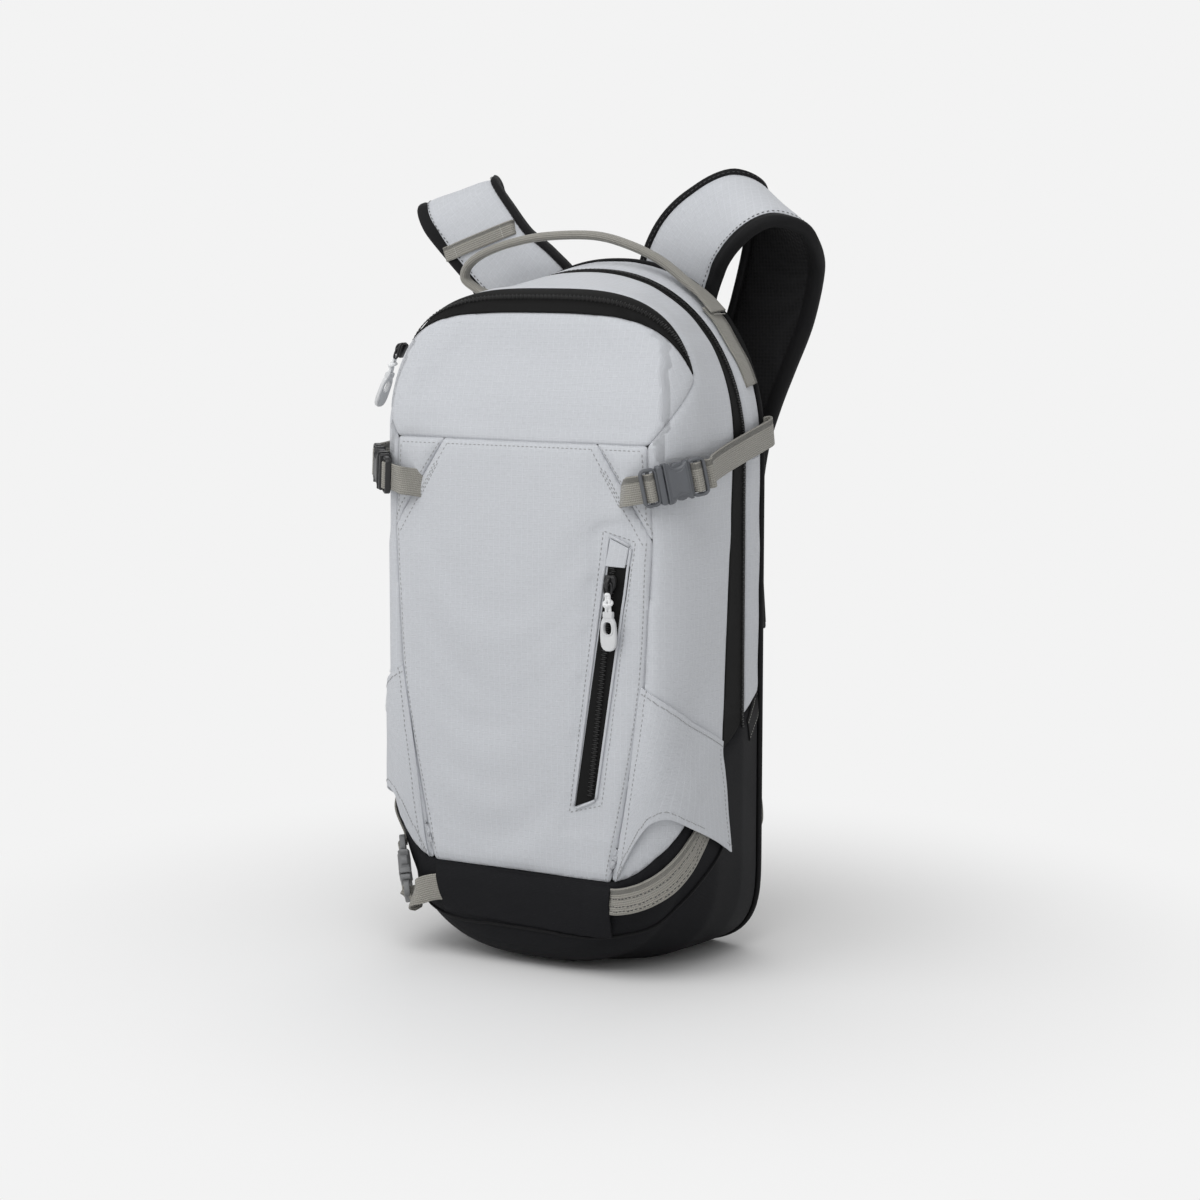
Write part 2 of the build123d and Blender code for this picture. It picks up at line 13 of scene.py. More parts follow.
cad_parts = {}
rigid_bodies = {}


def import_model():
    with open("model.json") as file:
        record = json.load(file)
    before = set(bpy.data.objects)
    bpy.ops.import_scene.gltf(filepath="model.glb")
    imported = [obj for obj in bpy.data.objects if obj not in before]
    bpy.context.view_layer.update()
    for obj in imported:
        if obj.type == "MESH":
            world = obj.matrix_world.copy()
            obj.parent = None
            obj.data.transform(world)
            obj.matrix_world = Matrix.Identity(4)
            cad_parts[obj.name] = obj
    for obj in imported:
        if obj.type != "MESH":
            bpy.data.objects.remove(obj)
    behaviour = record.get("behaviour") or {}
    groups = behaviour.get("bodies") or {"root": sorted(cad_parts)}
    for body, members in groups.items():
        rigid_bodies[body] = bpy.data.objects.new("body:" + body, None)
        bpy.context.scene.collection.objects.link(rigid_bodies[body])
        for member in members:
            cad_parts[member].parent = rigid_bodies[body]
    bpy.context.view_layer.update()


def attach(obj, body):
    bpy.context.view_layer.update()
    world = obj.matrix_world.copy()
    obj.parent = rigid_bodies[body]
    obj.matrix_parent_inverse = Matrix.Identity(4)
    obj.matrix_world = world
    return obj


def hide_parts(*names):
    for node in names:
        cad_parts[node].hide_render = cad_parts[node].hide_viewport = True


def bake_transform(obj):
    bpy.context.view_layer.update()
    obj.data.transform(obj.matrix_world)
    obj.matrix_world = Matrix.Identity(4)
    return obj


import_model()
MM = 0.001
SIDES = {"right": 1, "left": -1}

# ---- driving dimensions, as in the CAD ----------------------------------------------------------
FRONT_Y, BACK_Y = -74.0, 60.0
GOGGLE_ZIP_Y, MAIN_ZIP_Y, ZIP_HALF = -42.0, 25.0, 6.0
SEAM_Z = 363.0
MAIN_ZIP_TOP, MAIN_ZIP_FLARE = 468.0, 0.069  # the band's front edge runs forward on its way down the flanks
# the goggle zip's band has a straight rear edge and tapers towards its tips
GOGGLE_REAR, GOGGLE_TIP_Z, GOGGLE_TAPER = GOGGLE_ZIP_Y + ZIP_HALF, 408.0, 0.86
BASE_FRONT_Z = 69.0
PAD_Y = 68.0
BODY_X, DOME_Z = 118, 350  # where the sides turn into the top, for the cloth's grain
# where the goggle pocket's face starts to lean back, over what height, and by what share of its depth
LEAN_Z, LEAN_RISE, LEAN = 370, 85, 0.52
# y: half width, top, start of the dome, dome power, bottom, start of the bottom, bottom power
STATIONS = {
    -74.0: (94.0, 436.0, 380.0, 3.0, 30.0, 235.0, 2.6),
    -42.0: (117.0, 463.0, 350.0, 3.3, 3.0, 145.0, 2.8),
    -10.0: (119.0, 469.0, 350.0, 2.6, -2.0, 95.0, 3.2),
    25.0: (119.0, 476.0, 350.0, 2.1, -2.0, 80.0, 3.4),
    60.0: (114.0, 482.0, 350.0, 2.2, -2.0, 75.0, 4.0),
}
SIDE_STEPS, TOP_STEPS, ROUND_STEPS, DEPTH_STEPS = 108, 44, 10, 26


# ---- camera, light and floor --------------------------------------------------------------------
def direction(azimuth, elevation):
    """Unit vector from the object towards a viewer at that angle."""
    a, e = math.radians(azimuth), math.radians(elevation)
    return Vector((math.sin(a) * math.cos(e), -math.cos(a) * math.cos(e), math.sin(e)))


def aim(obj, target, azimuth, elevation, distance):
    """Links a camera or lamp and turns it to its target from that angle."""
    out = direction(azimuth, elevation)
    obj.location = Vector(target) + out * distance
    obj.rotation_mode = "QUATERNION"
    obj.rotation_quaternion = (-out).to_track_quat("-Z", "Y")
    bpy.context.scene.collection.objects.link(obj)
    return obj


BACKDROP = (0.896, 0.896, 0.896, 1.0)
# name, azimuth, elevation, distance and size in metres, watts
SOFTBOXES = [("key", 14, 56, 1.7, 1.3, 13), ("front", -38, 30, 2.2, 1.6, 11), ("back", 200, 45, 2.0, 1.4, 7)]


def add_camera():
    data = bpy.data.cameras.new("camera")
    data.lens, data.sensor_width = 78.84, 36.0
    camera = bpy.data.objects.new("camera", data)
    bpy.context.scene.camera = aim(camera, (-0.004, 0.042, 0.242), 30, 7.5, 1.874)


def new_node(tree, kind, **settings):
    node = tree.nodes.new("ShaderNode" + kind)
    for key, value in settings.items():
        setattr(node, key, value)
    return node


def mixed(tree, factor, first, second, output):
    """Sends a mix of two shaders to the tree's output."""
    mix = new_node(tree, "MixShader")
    for i, source in enumerate((factor, first, second)):
        tree.links.new(source, mix.inputs[i])
    tree.links.new(mix.outputs[0], tree.nodes[output].inputs[0])


def add_studio():
    """Softboxes, an even pale world, and a floor that fades into the backdrop away from the pack."""
    scene = bpy.context.scene
    scene.view_settings.view_transform = "Standard"
    world = bpy.data.worlds.new("studio")
    scene.world = world
    world.use_nodes = True
    light = world.node_tree.nodes["Background"]
    light.inputs[0].default_value = (1.0, 1.0, 1.0, 1.0)
    light.inputs[1].default_value = 0.49
    seen = new_node(world.node_tree, "Background")
    seen.inputs[0].default_value = BACKDROP
    path = new_node(world.node_tree, "LightPath")
    mixed(world.node_tree, path.outputs["Is Camera Ray"], light.outputs[0], seen.outputs[0], "World Output")
    for name, azimuth, elevation, distance, size, watts in SOFTBOXES:
        data = bpy.data.lights.new(name, "AREA")
        data.shape, data.size, data.energy = "SQUARE", size, watts
        aim(bpy.data.objects.new(name, data), (0, 0, 0.25), azimuth, elevation, distance)
    bpy.ops.mesh.primitive_circle_add(vertices=96, radius=30, fill_type="NGON", location=(0, 0, 0))
    floor = bpy.context.object
    floor.name = "floor"
    mat = bpy.data.materials.new("floor")
    mat.use_nodes = True
    tree = mat.node_tree
    diffuse = tree.nodes["Principled BSDF"]
    diffuse.inputs["Base Color"].default_value = (0.86, 0.86, 0.86, 1)
    diffuse.inputs["Roughness"].default_value = 0.8
    glow = new_node(tree, "Emission")
    glow.inputs[0].default_value = BACKDROP
    place = new_node(tree, "NewGeometry")
    length = new_node(tree, "VectorMath", operation="LENGTH")
    fade = new_node(tree, "MapRange", interpolation_type="SMOOTHSTEP")
    fade.inputs["From Min"].default_value, fade.inputs["From Max"].default_value = 0.16, 0.55
    tree.links.new(place.outputs["Position"], length.inputs[0])
    tree.links.new(length.outputs["Value"], fade.inputs["Value"])
    mixed(tree, fade.outputs[0], diffuse.outputs[0], glow.outputs[0], "Material Output")
    floor.data.materials.append(mat)


# ---- materials ----------------------------------------------------------------------------------
class Look:
    """Procedural material: a base shader, and short ways to chain nodes into it."""

    def __init__(self, name, color, roughness, **sockets):
        self.mat = bpy.data.materials.new(name)
        self.mat.use_nodes = True
        self.tree = self.mat.node_tree
        self.shader = self.tree.nodes["Principled BSDF"]
        self.color = color
        self.shader.inputs["Base Color"].default_value = (*color, 1.0)
        self.shader.inputs["Roughness"].default_value = roughness
        for socket, value in sockets.items():
            self.shader.inputs[socket.replace("_", " ")].default_value = value
        coords = self.node("TexCoord")
        self.uv, self.place = coords.outputs["UV"], coords.outputs["Object"]

    def node(self, kind, inputs=(), **settings):
        """New node; each input is a link if it comes from a socket, else a plain value."""
        node = new_node(self.tree, kind, **settings)
        for key, value in dict(inputs).items():
            if isinstance(value, bpy.types.NodeSocket):
                self.tree.links.new(value, node.inputs[key])
            else:
                node.inputs[key].default_value = value
        return node

    def math(self, operation, *values):
        return self.node("Math", enumerate(values), operation=operation).outputs[0]

    def uv_parts(self):
        return self.node("SeparateXYZ", {0: self.uv}).outputs[:2]

    def noise(self, scale, detail=2.0, vector=None):
        inputs = {"Vector": self.place if vector is None else vector, "Scale": scale, "Detail": detail}
        return self.node("TexNoise", inputs).outputs["Fac"]

    def yarn(self, scale):
        """Noise drawn out along the yarns."""
        stretched = self.node("VectorMath", {0: self.uv, 1: scale}, operation="MULTIPLY")
        return self.noise(1.0, 1.0, stretched.outputs[0])

    def cells(self, scale):
        inputs = {"Vector": self.place, "Scale": scale, "Randomness": 0.15}
        return self.node("TexVoronoi", inputs, feature="F1").outputs["Distance"]

    def ridge(self, value, pitch):
        """Wave from 0 to 1 along a length in metres, one per pitch."""
        wave = self.math("SINE", self.math("MULTIPLY", value, 2 * math.pi / pitch))
        return self.math("MULTIPLY_ADD", wave, 0.5, 0.5)

    def line(self, value, pitch, width):
        """1 on a thin line once per pitch, else 0."""
        part = self.math("FRACT", self.math("DIVIDE", value, pitch))
        return self.math("LESS_THAN", part, width / pitch)

    def finish(self, layers, height, depth, strength, worn, low, high):
        """Tints by 1 + amount * (layer - 0.5) for each layer, raises the bump and varies the roughness."""
        factor = None
        for layer, amount in layers:
            step = self.math("MULTIPLY_ADD", layer, amount, 1 - amount / 2)
            factor = step if factor is None else self.math("MULTIPLY", factor, step)
        tint = self.node("VectorMath", {0: self.color, "Scale": factor}, operation="SCALE")
        bump = self.node("Bump", {"Distance": depth, "Strength": strength, "Height": height})
        rough = self.math("MULTIPLY_ADD", worn, high - low, low)
        sources = {"Base Color": tint.outputs[0], "Normal": bump.outputs[0], "Roughness": rough}
        for socket, source in sources.items():
            self.tree.links.new(source, self.shader.inputs[socket])
        return self.mat


def ripstop(name, color, grid=4.4, thread=0.75):
    """Plain weave with a raised square grid, in slightly mixed yarns."""
    m = Look(name, color, 0.78, Sheen_Weight=0.12, Sheen_Roughness=0.5)
    u, v = m.uv_parts()
    lines = m.math("MAXIMUM", m.line(u, grid * MM, thread * MM), m.line(v, grid * MM, thread * MM))
    warp, weft, patches = m.yarn((2600, 240, 1)), m.yarn((240, 2600, 1)), m.noise(14, 3.0)
    weave = m.math("ADD", m.ridge(u, thread * MM), m.ridge(v, thread * MM))
    height = m.math("ADD", m.math("MULTIPLY", weave, 0.25), lines)
    layers = ((warp, 0.16), (weft, 0.16), (patches, 0.07), (lines, 0.055))
    return m.finish(layers, height, 0.00016, 0.8, patches, 0.7, 0.86)


def plain_weave(name, color, roughness=0.75, pitch=0.9, sheen=0.2, gloss=0.5):
    m = Look(name, color, roughness, Sheen_Weight=sheen, Sheen_Roughness=0.4, Specular_IOR_Level=gloss)
    u, v = m.uv_parts()
    weave = m.math("MULTIPLY", m.ridge(u, pitch * MM), m.ridge(v, pitch * MM))
    patches, grain = m.noise(18, 3.0), m.noise(900, 1.0)
    layers = ((weave, 0.25), (patches, 0.25), (grain, 0.3))
    return m.finish(layers, weave, 0.0002, 0.7, patches, roughness - 0.08, roughness + 0.08)


def webbing(name, color):
    """Ribbed webbing: narrow ribs along it, crossed by the weft."""
    m = Look(name, color, 0.7, Sheen_Weight=0.2, Sheen_Roughness=0.4)
    u, v = m.uv_parts()
    ribs = m.ridge(v, 1.45 * MM)
    weft = m.ridge(m.math("ADD", u, m.math("MULTIPLY", ribs, 0.35 * MM)), 1.15 * MM)
    grain = m.noise(700)
    layers = ((ribs, 0.34), (weft, 0.22), (grain, 0.25), (m.noise(25), 0.1))
    return m.finish(layers, m.math("ADD", ribs, m.math("MULTIPLY", weft, 0.5)), 0.00035, 0.9, grain, 0.6, 0.8)


def spacer_mesh(name, color, pitch=2.6):
    """Open knitted mesh: rows of small round holes."""
    m = Look(name, color, 0.85, Sheen_Weight=0.03, Sheen_Roughness=0.5, Specular_IOR_Level=0.25)
    holes, patches = m.cells(1 / (pitch * MM)), m.noise(12, 3.0)
    return m.finish(((holes, 1.3), (patches, 0.3)), holes, 0.0007, 0.9, patches, 0.78, 0.92)


def plastic(name, color, roughness=0.42):
    m = Look(name, color, roughness, IOR=1.48)
    grain, wear = m.noise(500), m.noise(60, 4.0)
    layers = ((wear, 0.25), (grain, 0.08))
    return m.finish(layers, grain, 0.00006, 0.5, wear, roughness - 0.08, roughness + 0.14)


def coil_nylon(name, color):
    m = Look(name, color, 0.45, IOR=1.5)
    grain = m.noise(300)
    return m.finish(((grain, 0.5),), grain, 0.00005, 0.4, grain, 0.35, 0.55)


def braid(name, color):
    """Braided cord."""
    m = Look(name, color, 0.7, Sheen_Weight=0.2)
    strands, dirt = m.cells(900), m.noise(80, 3.0)
    return m.finish(((strands, 0.4), (dirt, 0.12)), strands, 0.0002, 0.8, dirt, 0.6, 0.8)


MATERIALS = {
    "shell": ripstop("shell_ripstop", (0.525, 0.541, 0.571)),
    "black": plain_weave("base_weave", (0.0100, 0.0102, 0.0118), 0.66, 1.0, 0.0, 0.12),
    "tape": plain_weave("zip_tape_weave", (0.0062, 0.0062, 0.0062), 0.8, 0.8, 0.0, 0.2),
    "binding": plain_weave("edge_binding", (0.006, 0.006, 0.0068), 0.7, 0.7, 0.0, 0.22),
    "lining": plain_weave("lining_weave", (0.22, 0.23, 0.25), 0.7, 0.7, 0.2),
    "web": webbing("grey_webbing", (0.272, 0.262, 0.234)),
    "mesh": spacer_mesh("spacer_mesh", (0.0085, 0.0085, 0.0092)),
    "dark_plastic": plastic("dark_grey_acetal", (0.098, 0.104, 0.115), 0.4),
    "black_plastic": plastic("black_acetal", (0.011, 0.011, 0.012), 0.36),
    "grey_plastic": plastic("mid_grey_acetal", (0.165, 0.168, 0.172), 0.42),
    "pull_plastic": plastic("pale_pull", (0.60, 0.61, 0.62), 0.45),
    "metal": plastic("painted_slider", (0.012, 0.012, 0.013), 0.3),
    "coil": coil_nylon("coil_nylon", (0.010, 0.010, 0.010)),
    "cord": braid("white_cord", (0.78, 0.79, 0.80)),
    "stitch": braid("grey_thread", (0.30, 0.305, 0.31)),
    "black_stitch": braid("black_thread", (0.03, 0.03, 0.032)),
    "pale_stitch": braid("pale_thread", (0.42, 0.41, 0.38)),
}


# ---- mesh helpers -------------------------------------------------------------------------------
def unit(v):
    v = np.asarray(v, float)
    return v / max(np.linalg.norm(v), 1e-9)


def flip_for(side):
    """Factor that takes a point of the right half to the named side."""
    return np.array([float(SIDES[side]), 1, 1])


def smoothstep(t):
    return t * t * (3 - 2 * t)


def make_piece(name, verts, faces, look, body="pack", replaces=(), uvs=None):
    """Object from points in millimetres, riding on a body, with its material."""
    mesh = bpy.data.meshes.new(name)
    mesh.from_pydata([tuple(float(c) * MM for c in v) for v in verts], [], [tuple(f) for f in faces])
    obj = bpy.data.objects.new(name, mesh)
    bpy.context.scene.collection.objects.link(obj)
    if uvs is not None:
        layer = mesh.uv_layers.new(name="UVMap")
        for loop in mesh.loops:
            layer.data[loop.index].uv = uvs[loop.vertex_index]
    mesh.polygons.foreach_set("use_smooth", [True] * len(mesh.polygons))
    mesh.materials.append(MATERIALS[look])
    if body is not None:
        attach(obj, body)
    if replaces:
        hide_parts(*replaces)
    return obj


def modify(obj, *steps, body=None):
    """Adds modifiers in turn, each a kind and its settings, and keeps what they make of the mesh."""
    for kind, settings in steps:
        modifier = obj.modifiers.new(kind.lower(), kind)
        for key, value in settings.items():
            setattr(modifier, key, value)
    depsgraph = bpy.context.evaluated_depsgraph_get()
    mesh = bpy.data.meshes.new_from_object(obj.evaluated_get(depsgraph), depsgraph=depsgraph)
    obj.modifiers.clear()
    obj.data = mesh
    mesh.polygons.foreach_set("use_smooth", [True] * len(mesh.polygons))
    if body is not None:
        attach(obj, body)
    return obj


def thickened(thick, offset=-1.0):
    return "SOLIDIFY", {"thickness": thick * MM, "offset": offset}


def softened(width):
    return "BEVEL", {"width": width * MM, "segments": 2, "limit_method": "ANGLE"}


FINER = ("SUBSURF", {"levels": 1, "render_levels": 1})


def curve_through(points, steps):
    """Smooth points through a given line, that many to each stretch (Catmull-Rom)."""
    p = np.array([np.atleast_1d(q) for q in points], float)
    p = np.vstack([2 * p[0] - p[1], p, 2 * p[-1] - p[-2]])
    out = []
    for i in range(1, len(p) - 2):
        for k in range(steps):
            t = k / steps
            a, b, c, d = p[i - 1], p[i], p[i + 1], p[i + 2]
            out.append(0.5 * (2 * b + (c - a) * t + (2 * a - 5 * b + 4 * c - d) * t**2
                              + (3 * b - a - 3 * c + d) * t**3))
    out.append(p[-2])
    return np.array(out)


def lengths_along(points):
    steps = np.linalg.norm(np.diff(np.asarray(points, float), axis=0), axis=1)
    return np.concatenate([[0], np.cumsum(steps)])


def resample(points, count):
    """That many equal steps along a line."""
    points = np.asarray(points, float)
    run = lengths_along(points)
    at = np.linspace(0, run[-1], count + 1)
    return np.stack([np.interp(at, run, points[:, k]) for k in range(points.shape[1])], axis=1)


def frames_along(points, across):
    """For each point: direction along the line, across it, and out of its face."""
    ahead = np.gradient(points, axis=0)
    result = []
    for along, side in zip(ahead, across):
        along = unit(along)
        side = unit(side - along * np.dot(side, along))
        result.append((along, side, np.cross(along, side)))
    return result


def grid_faces(columns, row, turned=False):
    """Quads over points laid out in columns of that many; turned gives them the other side."""
    corners = (0, 1, row + 1, row) if turned else (0, row, row + 1, 1)
    return [tuple(i * row + j + c for c in corners) for i in range(columns - 1) for j in range(row - 1)]


def tube_faces(rings, count, closed=False):
    """Quads between rings of that many points, the last ring joined to the first if closed."""
    faces = []
    for i in range(rings if closed else rings - 1):
        for k in range(count):
            ahead, next_ring = (k + 1) % count, (i + 1) % rings * count
            faces.append((i * count + k, i * count + ahead, next_ring + ahead, next_ring + k))
    return faces


def circle(radius, count):
    angles = np.linspace(0, 2 * math.pi, count + 1)[:-1]
    return [(radius * math.cos(a), radius * math.sin(a)) for a in angles]


def sweep(name, points, across, section, look, body="pack", replaces=(), capped=True):
    """Sweeps a closed section along a line. section(i, share) gives (across, out) pairs in millimetres."""
    if not callable(section):
        fixed = section
        section = lambda i, share: fixed
    run = lengths_along(points)
    verts, uvs = [], []
    for i, (point, (_, side, out)) in enumerate(zip(points, frames_along(points, across))):
        ring = section(i, run[i] / run[-1])
        count = len(ring)
        around = 0.0
        for k, (a, o) in enumerate(ring):
            verts.append(point + side * a + out * o)
            if k:
                around += math.hypot(a - ring[k - 1][0], o - ring[k - 1][1])
            uvs.append((run[i] * MM, around * MM))
    faces = tube_faces(len(points), count)
    if capped:
        faces += [tuple(reversed(range(count))), tuple(range(len(verts) - count, len(verts)))]
    return make_piece(name, verts, faces, look, body, replaces, uvs)


def band_section(width, thick, points=10):
    """Flat band with round edges: half of its outline at each edge."""
    half, r = width / 2, thick / 2
    ring = []
    for side in (1, -1):
        for k in range(points // 2 + 1):
            angle = math.pi / 2 - math.pi * k / (points // 2)
            ring.append((side * (half - r + r * math.cos(angle)), side * r * math.sin(angle)))
        inner = np.linspace(side * (half - r), -side * (half - r), 6)[1:-1]
        ring += [(a, -side * r) for a in inner]
    return ring


def web_band(name, points, across, width, body="pack", replaces=(), thick=1.5, steps=8):
    """Webbing along a given line."""
    line, sides = curve_through(points, steps), curve_through(across, steps)
    return sweep(name, line, sides, band_section(width, thick), "web", body, replaces)


def tube(name, points, radius, look, body="pack", replaces=(), sides=10, steps=6):
    line = curve_through(points, steps)
    ahead = unit(line[-1] - line[0])
    spare = np.array([0.3, 1.0, 0.2]) if abs(ahead[1]) < 0.9 else np.array([1.0, 0.1, 0.2])
    return sweep(name, line, [spare] * len(line), circle(radius, sides), look, body, replaces)


class Bag:
    """Gathers many small shapes into one mesh."""

    def __init__(self):
        self.verts, self.faces = [], []

    def add(self, verts, faces):
        start = len(self.verts)
        self.verts += [tuple(v) for v in verts]
        self.faces += [tuple(start + i for i in f) for f in faces]

    def capsule(self, middle, along, out, long, wide, high, across=None):
        """Low stretched hexagon, as a stitch or a zip tooth, with its length along and its top out."""
        across = unit(np.cross(out, along)) if across is None else across
        verts = []
        for length, rise, width in ((0.8, 0, 1), (1, 0.6, 1), (0.55, 1, 0.5)):
            level = middle + out * high * rise
            verts += [level + along * (long / 2) * c * length + across * (wide / 2) * s * width
                      for c, s in circle(1, 6)]
        self.add(verts, tube_faces(3, 6) + [tuple(range(12, 18)), tuple(reversed(range(6)))])

    def piece(self, name, look, body="pack", replaces=()):
        return make_piece(name, self.verts, self.faces, look, body, replaces)


def simulate(name, verts, faces, weights, pressure, frames, cap, **settings):
    """Inflates a mesh as cloth, held by its pin weights, and returns the moved points."""
    obj = make_piece(name, verts, faces, "shell", body=None)
    pins = obj.vertex_groups.new(name="pins")
    for i, w in enumerate(weights):
        pins.add([i], max(w, 0.02), "REPLACE")
    cloth = obj.modifiers.new("cloth", "CLOTH")
    settings.update(quality=6, mass=0.25, vertex_group_mass="pins", use_pressure=True,
                    uniform_pressure_force=pressure)
    for key, value in settings.items():
        setattr(cloth.settings, key, value)
    cloth.settings.effector_weights.gravity = 0.3
    cloth.collision_settings.use_collision = False
    scene = bpy.context.scene
    for timed in (scene, cloth.point_cache):
        timed.frame_start, timed.frame_end = 1, frames
    for f in range(1, frames + 1):
        scene.frame_set(f)
    depsgraph = bpy.context.evaluated_depsgraph_get()
    moved = [np.array(v.co) / MM for v in obj.evaluated_get(depsgraph).data.vertices]
    scene.frame_set(1)
    mesh = obj.data
    bpy.data.objects.remove(obj)
    bpy.data.meshes.remove(mesh)
    result = []
    for old, new in zip(verts, moved):
        step = new - np.array(old)
        size = np.linalg.norm(step)
        result.append(np.array(old) + (step * (cap / size) if size > cap else step))
    return result


# ---- the sewn shell -----------------------------------------------------------------------------
def arch(half, reach, power, middle, up, low, high, steps=60):
    """Stretch of a half superellipse, from one angle to another, as (x, z)."""
    angle = np.radians(np.linspace(low, high, steps))
    c, s = np.cos(angle), np.sin(angle)
    r = (np.abs(c) ** power + np.abs(s) ** power) ** (-1 / power)
    return np.stack([half * r * c, middle + up * reach * r * s], axis=1)


def outline_at(y):
    """The shell's outline values at a depth, by straight lines between its stations."""
    ys = sorted(STATIONS)
    return np.array([np.interp(y, ys, [STATIONS[q][k] for q in ys]) for k in range(7)])


def outline_sides(values):
    """Right side, top, left side and bottom of one outline, each evenly stepped, going round."""
    half, top, dome, dome_n, bottom, floor, floor_n = values
    under = arch(half, floor - bottom, floor_n, floor, -1, 45, 0)
    over = arch(half, top - dome, dome_n, dome, 1, 0, 45)
    right = resample(np.vstack([under, over]), SIDE_STEPS)
    crown = resample(arch(half, top - dome, dome_n, dome, 1, 45, 135), TOP_STEPS)
    keel = resample(arch(half, floor - bottom, floor_n, floor, -1, 135, 45), TOP_STEPS)
    left = (right * (-1, 1))[::-1]
    return right, crown, left, keel


def outline_ring(values):
    right, crown, left, keel = outline_sides(values)
    return np.vstack([right[:-1], crown[:-1], left[:-1], keel[:-1]])


def shell_rows():
    """y and outline values for each row of the shell, with a round front edge."""
    front, second = sorted(STATIONS)[:2]
    a, b = np.array(STATIONS[front]), np.array(STATIONS[second])
    rows = []
    for k in range(ROUND_STEPS):
        angle = math.pi / 2 * k / ROUND_STEPS
        rows.append((second - (second - front) * math.cos(angle), a + (b - a) * math.sin(angle)))
    return rows + [(y, outline_at(y)) for y in np.linspace(second, BACK_Y, DEPTH_STEPS + 1)]


def filled_outline(values):
    """A grid of (i, j, x, z) that fills an outline smoothly from its four sides."""
    right, crown, left, keel = outline_sides(values)
    left_up, crown_right = left[::-1], crown[::-1]
    for i in range(TOP_STEPS + 1):
        for j in range(SIDE_STEPS + 1):
            u, v = i / TOP_STEPS, j / SIDE_STEPS
            flat = (1 - u) * left_up[j] + u * right[j] + (1 - v) * keel[i] + v * crown_right[i]
            flat = flat - ((1 - u) * (1 - v) * left_up[0] + u * (1 - v) * right[0]
                           + (1 - u) * v * left_up[-1] + u * v * right[-1])
            yield i, j, flat[0], flat[1]


def build_skin():
    """The whole shell as one grid: a front cap and the band behind it. Returns a bmesh in millimetres."""
    bm = bmesh.new()
    rows = shell_rows()
    rings = []
    for y, values in rows:
        rings.append([bm.verts.new((x, y, max(z, 0.6))) for x, z in outline_ring(values)])
    count = len(rings[0])
    for a, b in zip(rings, rings[1:]):
        for k in range(count):
            bm.faces.new((a[k], b[k], b[(k + 1) % count], a[(k + 1) % count]))
    cap = {}
    for j in range(SIDE_STEPS + 1):
        cap[TOP_STEPS, j] = rings[0][j]
        cap[0, j] = rings[0][SIDE_STEPS + TOP_STEPS + SIDE_STEPS - j]
    for i in range(TOP_STEPS + 1):
        cap[i, SIDE_STEPS] = rings[0][SIDE_STEPS + TOP_STEPS - i]
        cap[i, 0] = rings[0][(2 * SIDE_STEPS + TOP_STEPS + i) % count]
    for i, j, x, z in filled_outline(rows[0][1]):
        if 0 < i < TOP_STEPS and 0 < j < SIDE_STEPS:
            cap[i, j] = bm.verts.new((x, FRONT_Y, z))
    for i in range(TOP_STEPS):
        for j in range(SIDE_STEPS):
            bm.faces.new((cap[i, j], cap[i + 1, j], cap[i + 1, j + 1], cap[i, j + 1]))
    bmesh.ops.recalc_face_normals(bm, faces=bm.faces)
    return bm


def leant_back(y, z):
    """Depth of a point of the goggle pocket's face, which leans back so that its zip faces forward."""
    t = min(max((z - LEAN_Z) / LEAN_RISE, 0.0), 1.0)
    return GOGGLE_REAR + (y - GOGGLE_REAR) * (1 - LEAN * smoothstep(t))


def lean_back(bm):
    for v in bm.verts:
        if v.co.y < GOGGLE_REAR and v.co.z > LEAN_Z:
            v.co.y = leant_back(v.co.y, v.co.z)


BASE_LINE = [(-74.0, 69.0), (-70.0, 78.0), (-66.0, 87.0), (-58.0, 98.0), (-50.0, 107.0), (-30.0, 129.0),
             (-8.0, 151.0), (12.0, 159.0), (30.0, 171.0), (60.0, 183.0)]


def base_edge(y):
    """Height of the black base's upper edge: steep at the front corners, then rising to the back."""
    return float(np.interp(y, *zip(*BASE_LINE)))


# half width of the front panel's side seams, from the goggle pocket down to the base
FRONT_SEAM = [(98.0, SEAM_Z), (102.0, 300.0), (95.0, 190.0), (71.0, BASE_FRONT_Z)]
TAB_CORNER = (60.0, SEAM_Z)
SNAP = 1.6


def cut(bm, point, normal, region):
    """Cuts the faces in a region along a plane, after moving near vertices onto it, and marks the seam."""
    p, n = Vector(point), Vector(normal).normalized()
    faces = [f for f in bm.faces if region(f.calc_center_median())]
    verts = {v for f in faces for v in f.verts}
    edges = {e for f in faces for e in f.edges}
    for v in verts:
        away = (v.co - p).dot(n)
        if abs(away) < SNAP:
            v.co -= n * away
    done = bmesh.ops.bisect_plane(bm, geom=faces + list(verts) + list(edges), dist=1e-3,
                                  plane_co=p, plane_no=n)
    for e in done["geom_cut"]:
        if isinstance(e, bmesh.types.BMEdge):
            e.seam = True


def slanted(bm, side, upper, lower, region):
    """Cuts upright through the front along a line between two (x, z) points of the named side."""
    (xa, za), (xb, zb) = upper, lower
    s = SIDES[side]
    cut(bm, (s * xa, 0, za), (zb - za, 0, -s * (xb - xa)),
        lambda c: zb - 1 < c.z < za + 1 and region(s * c.x, c))


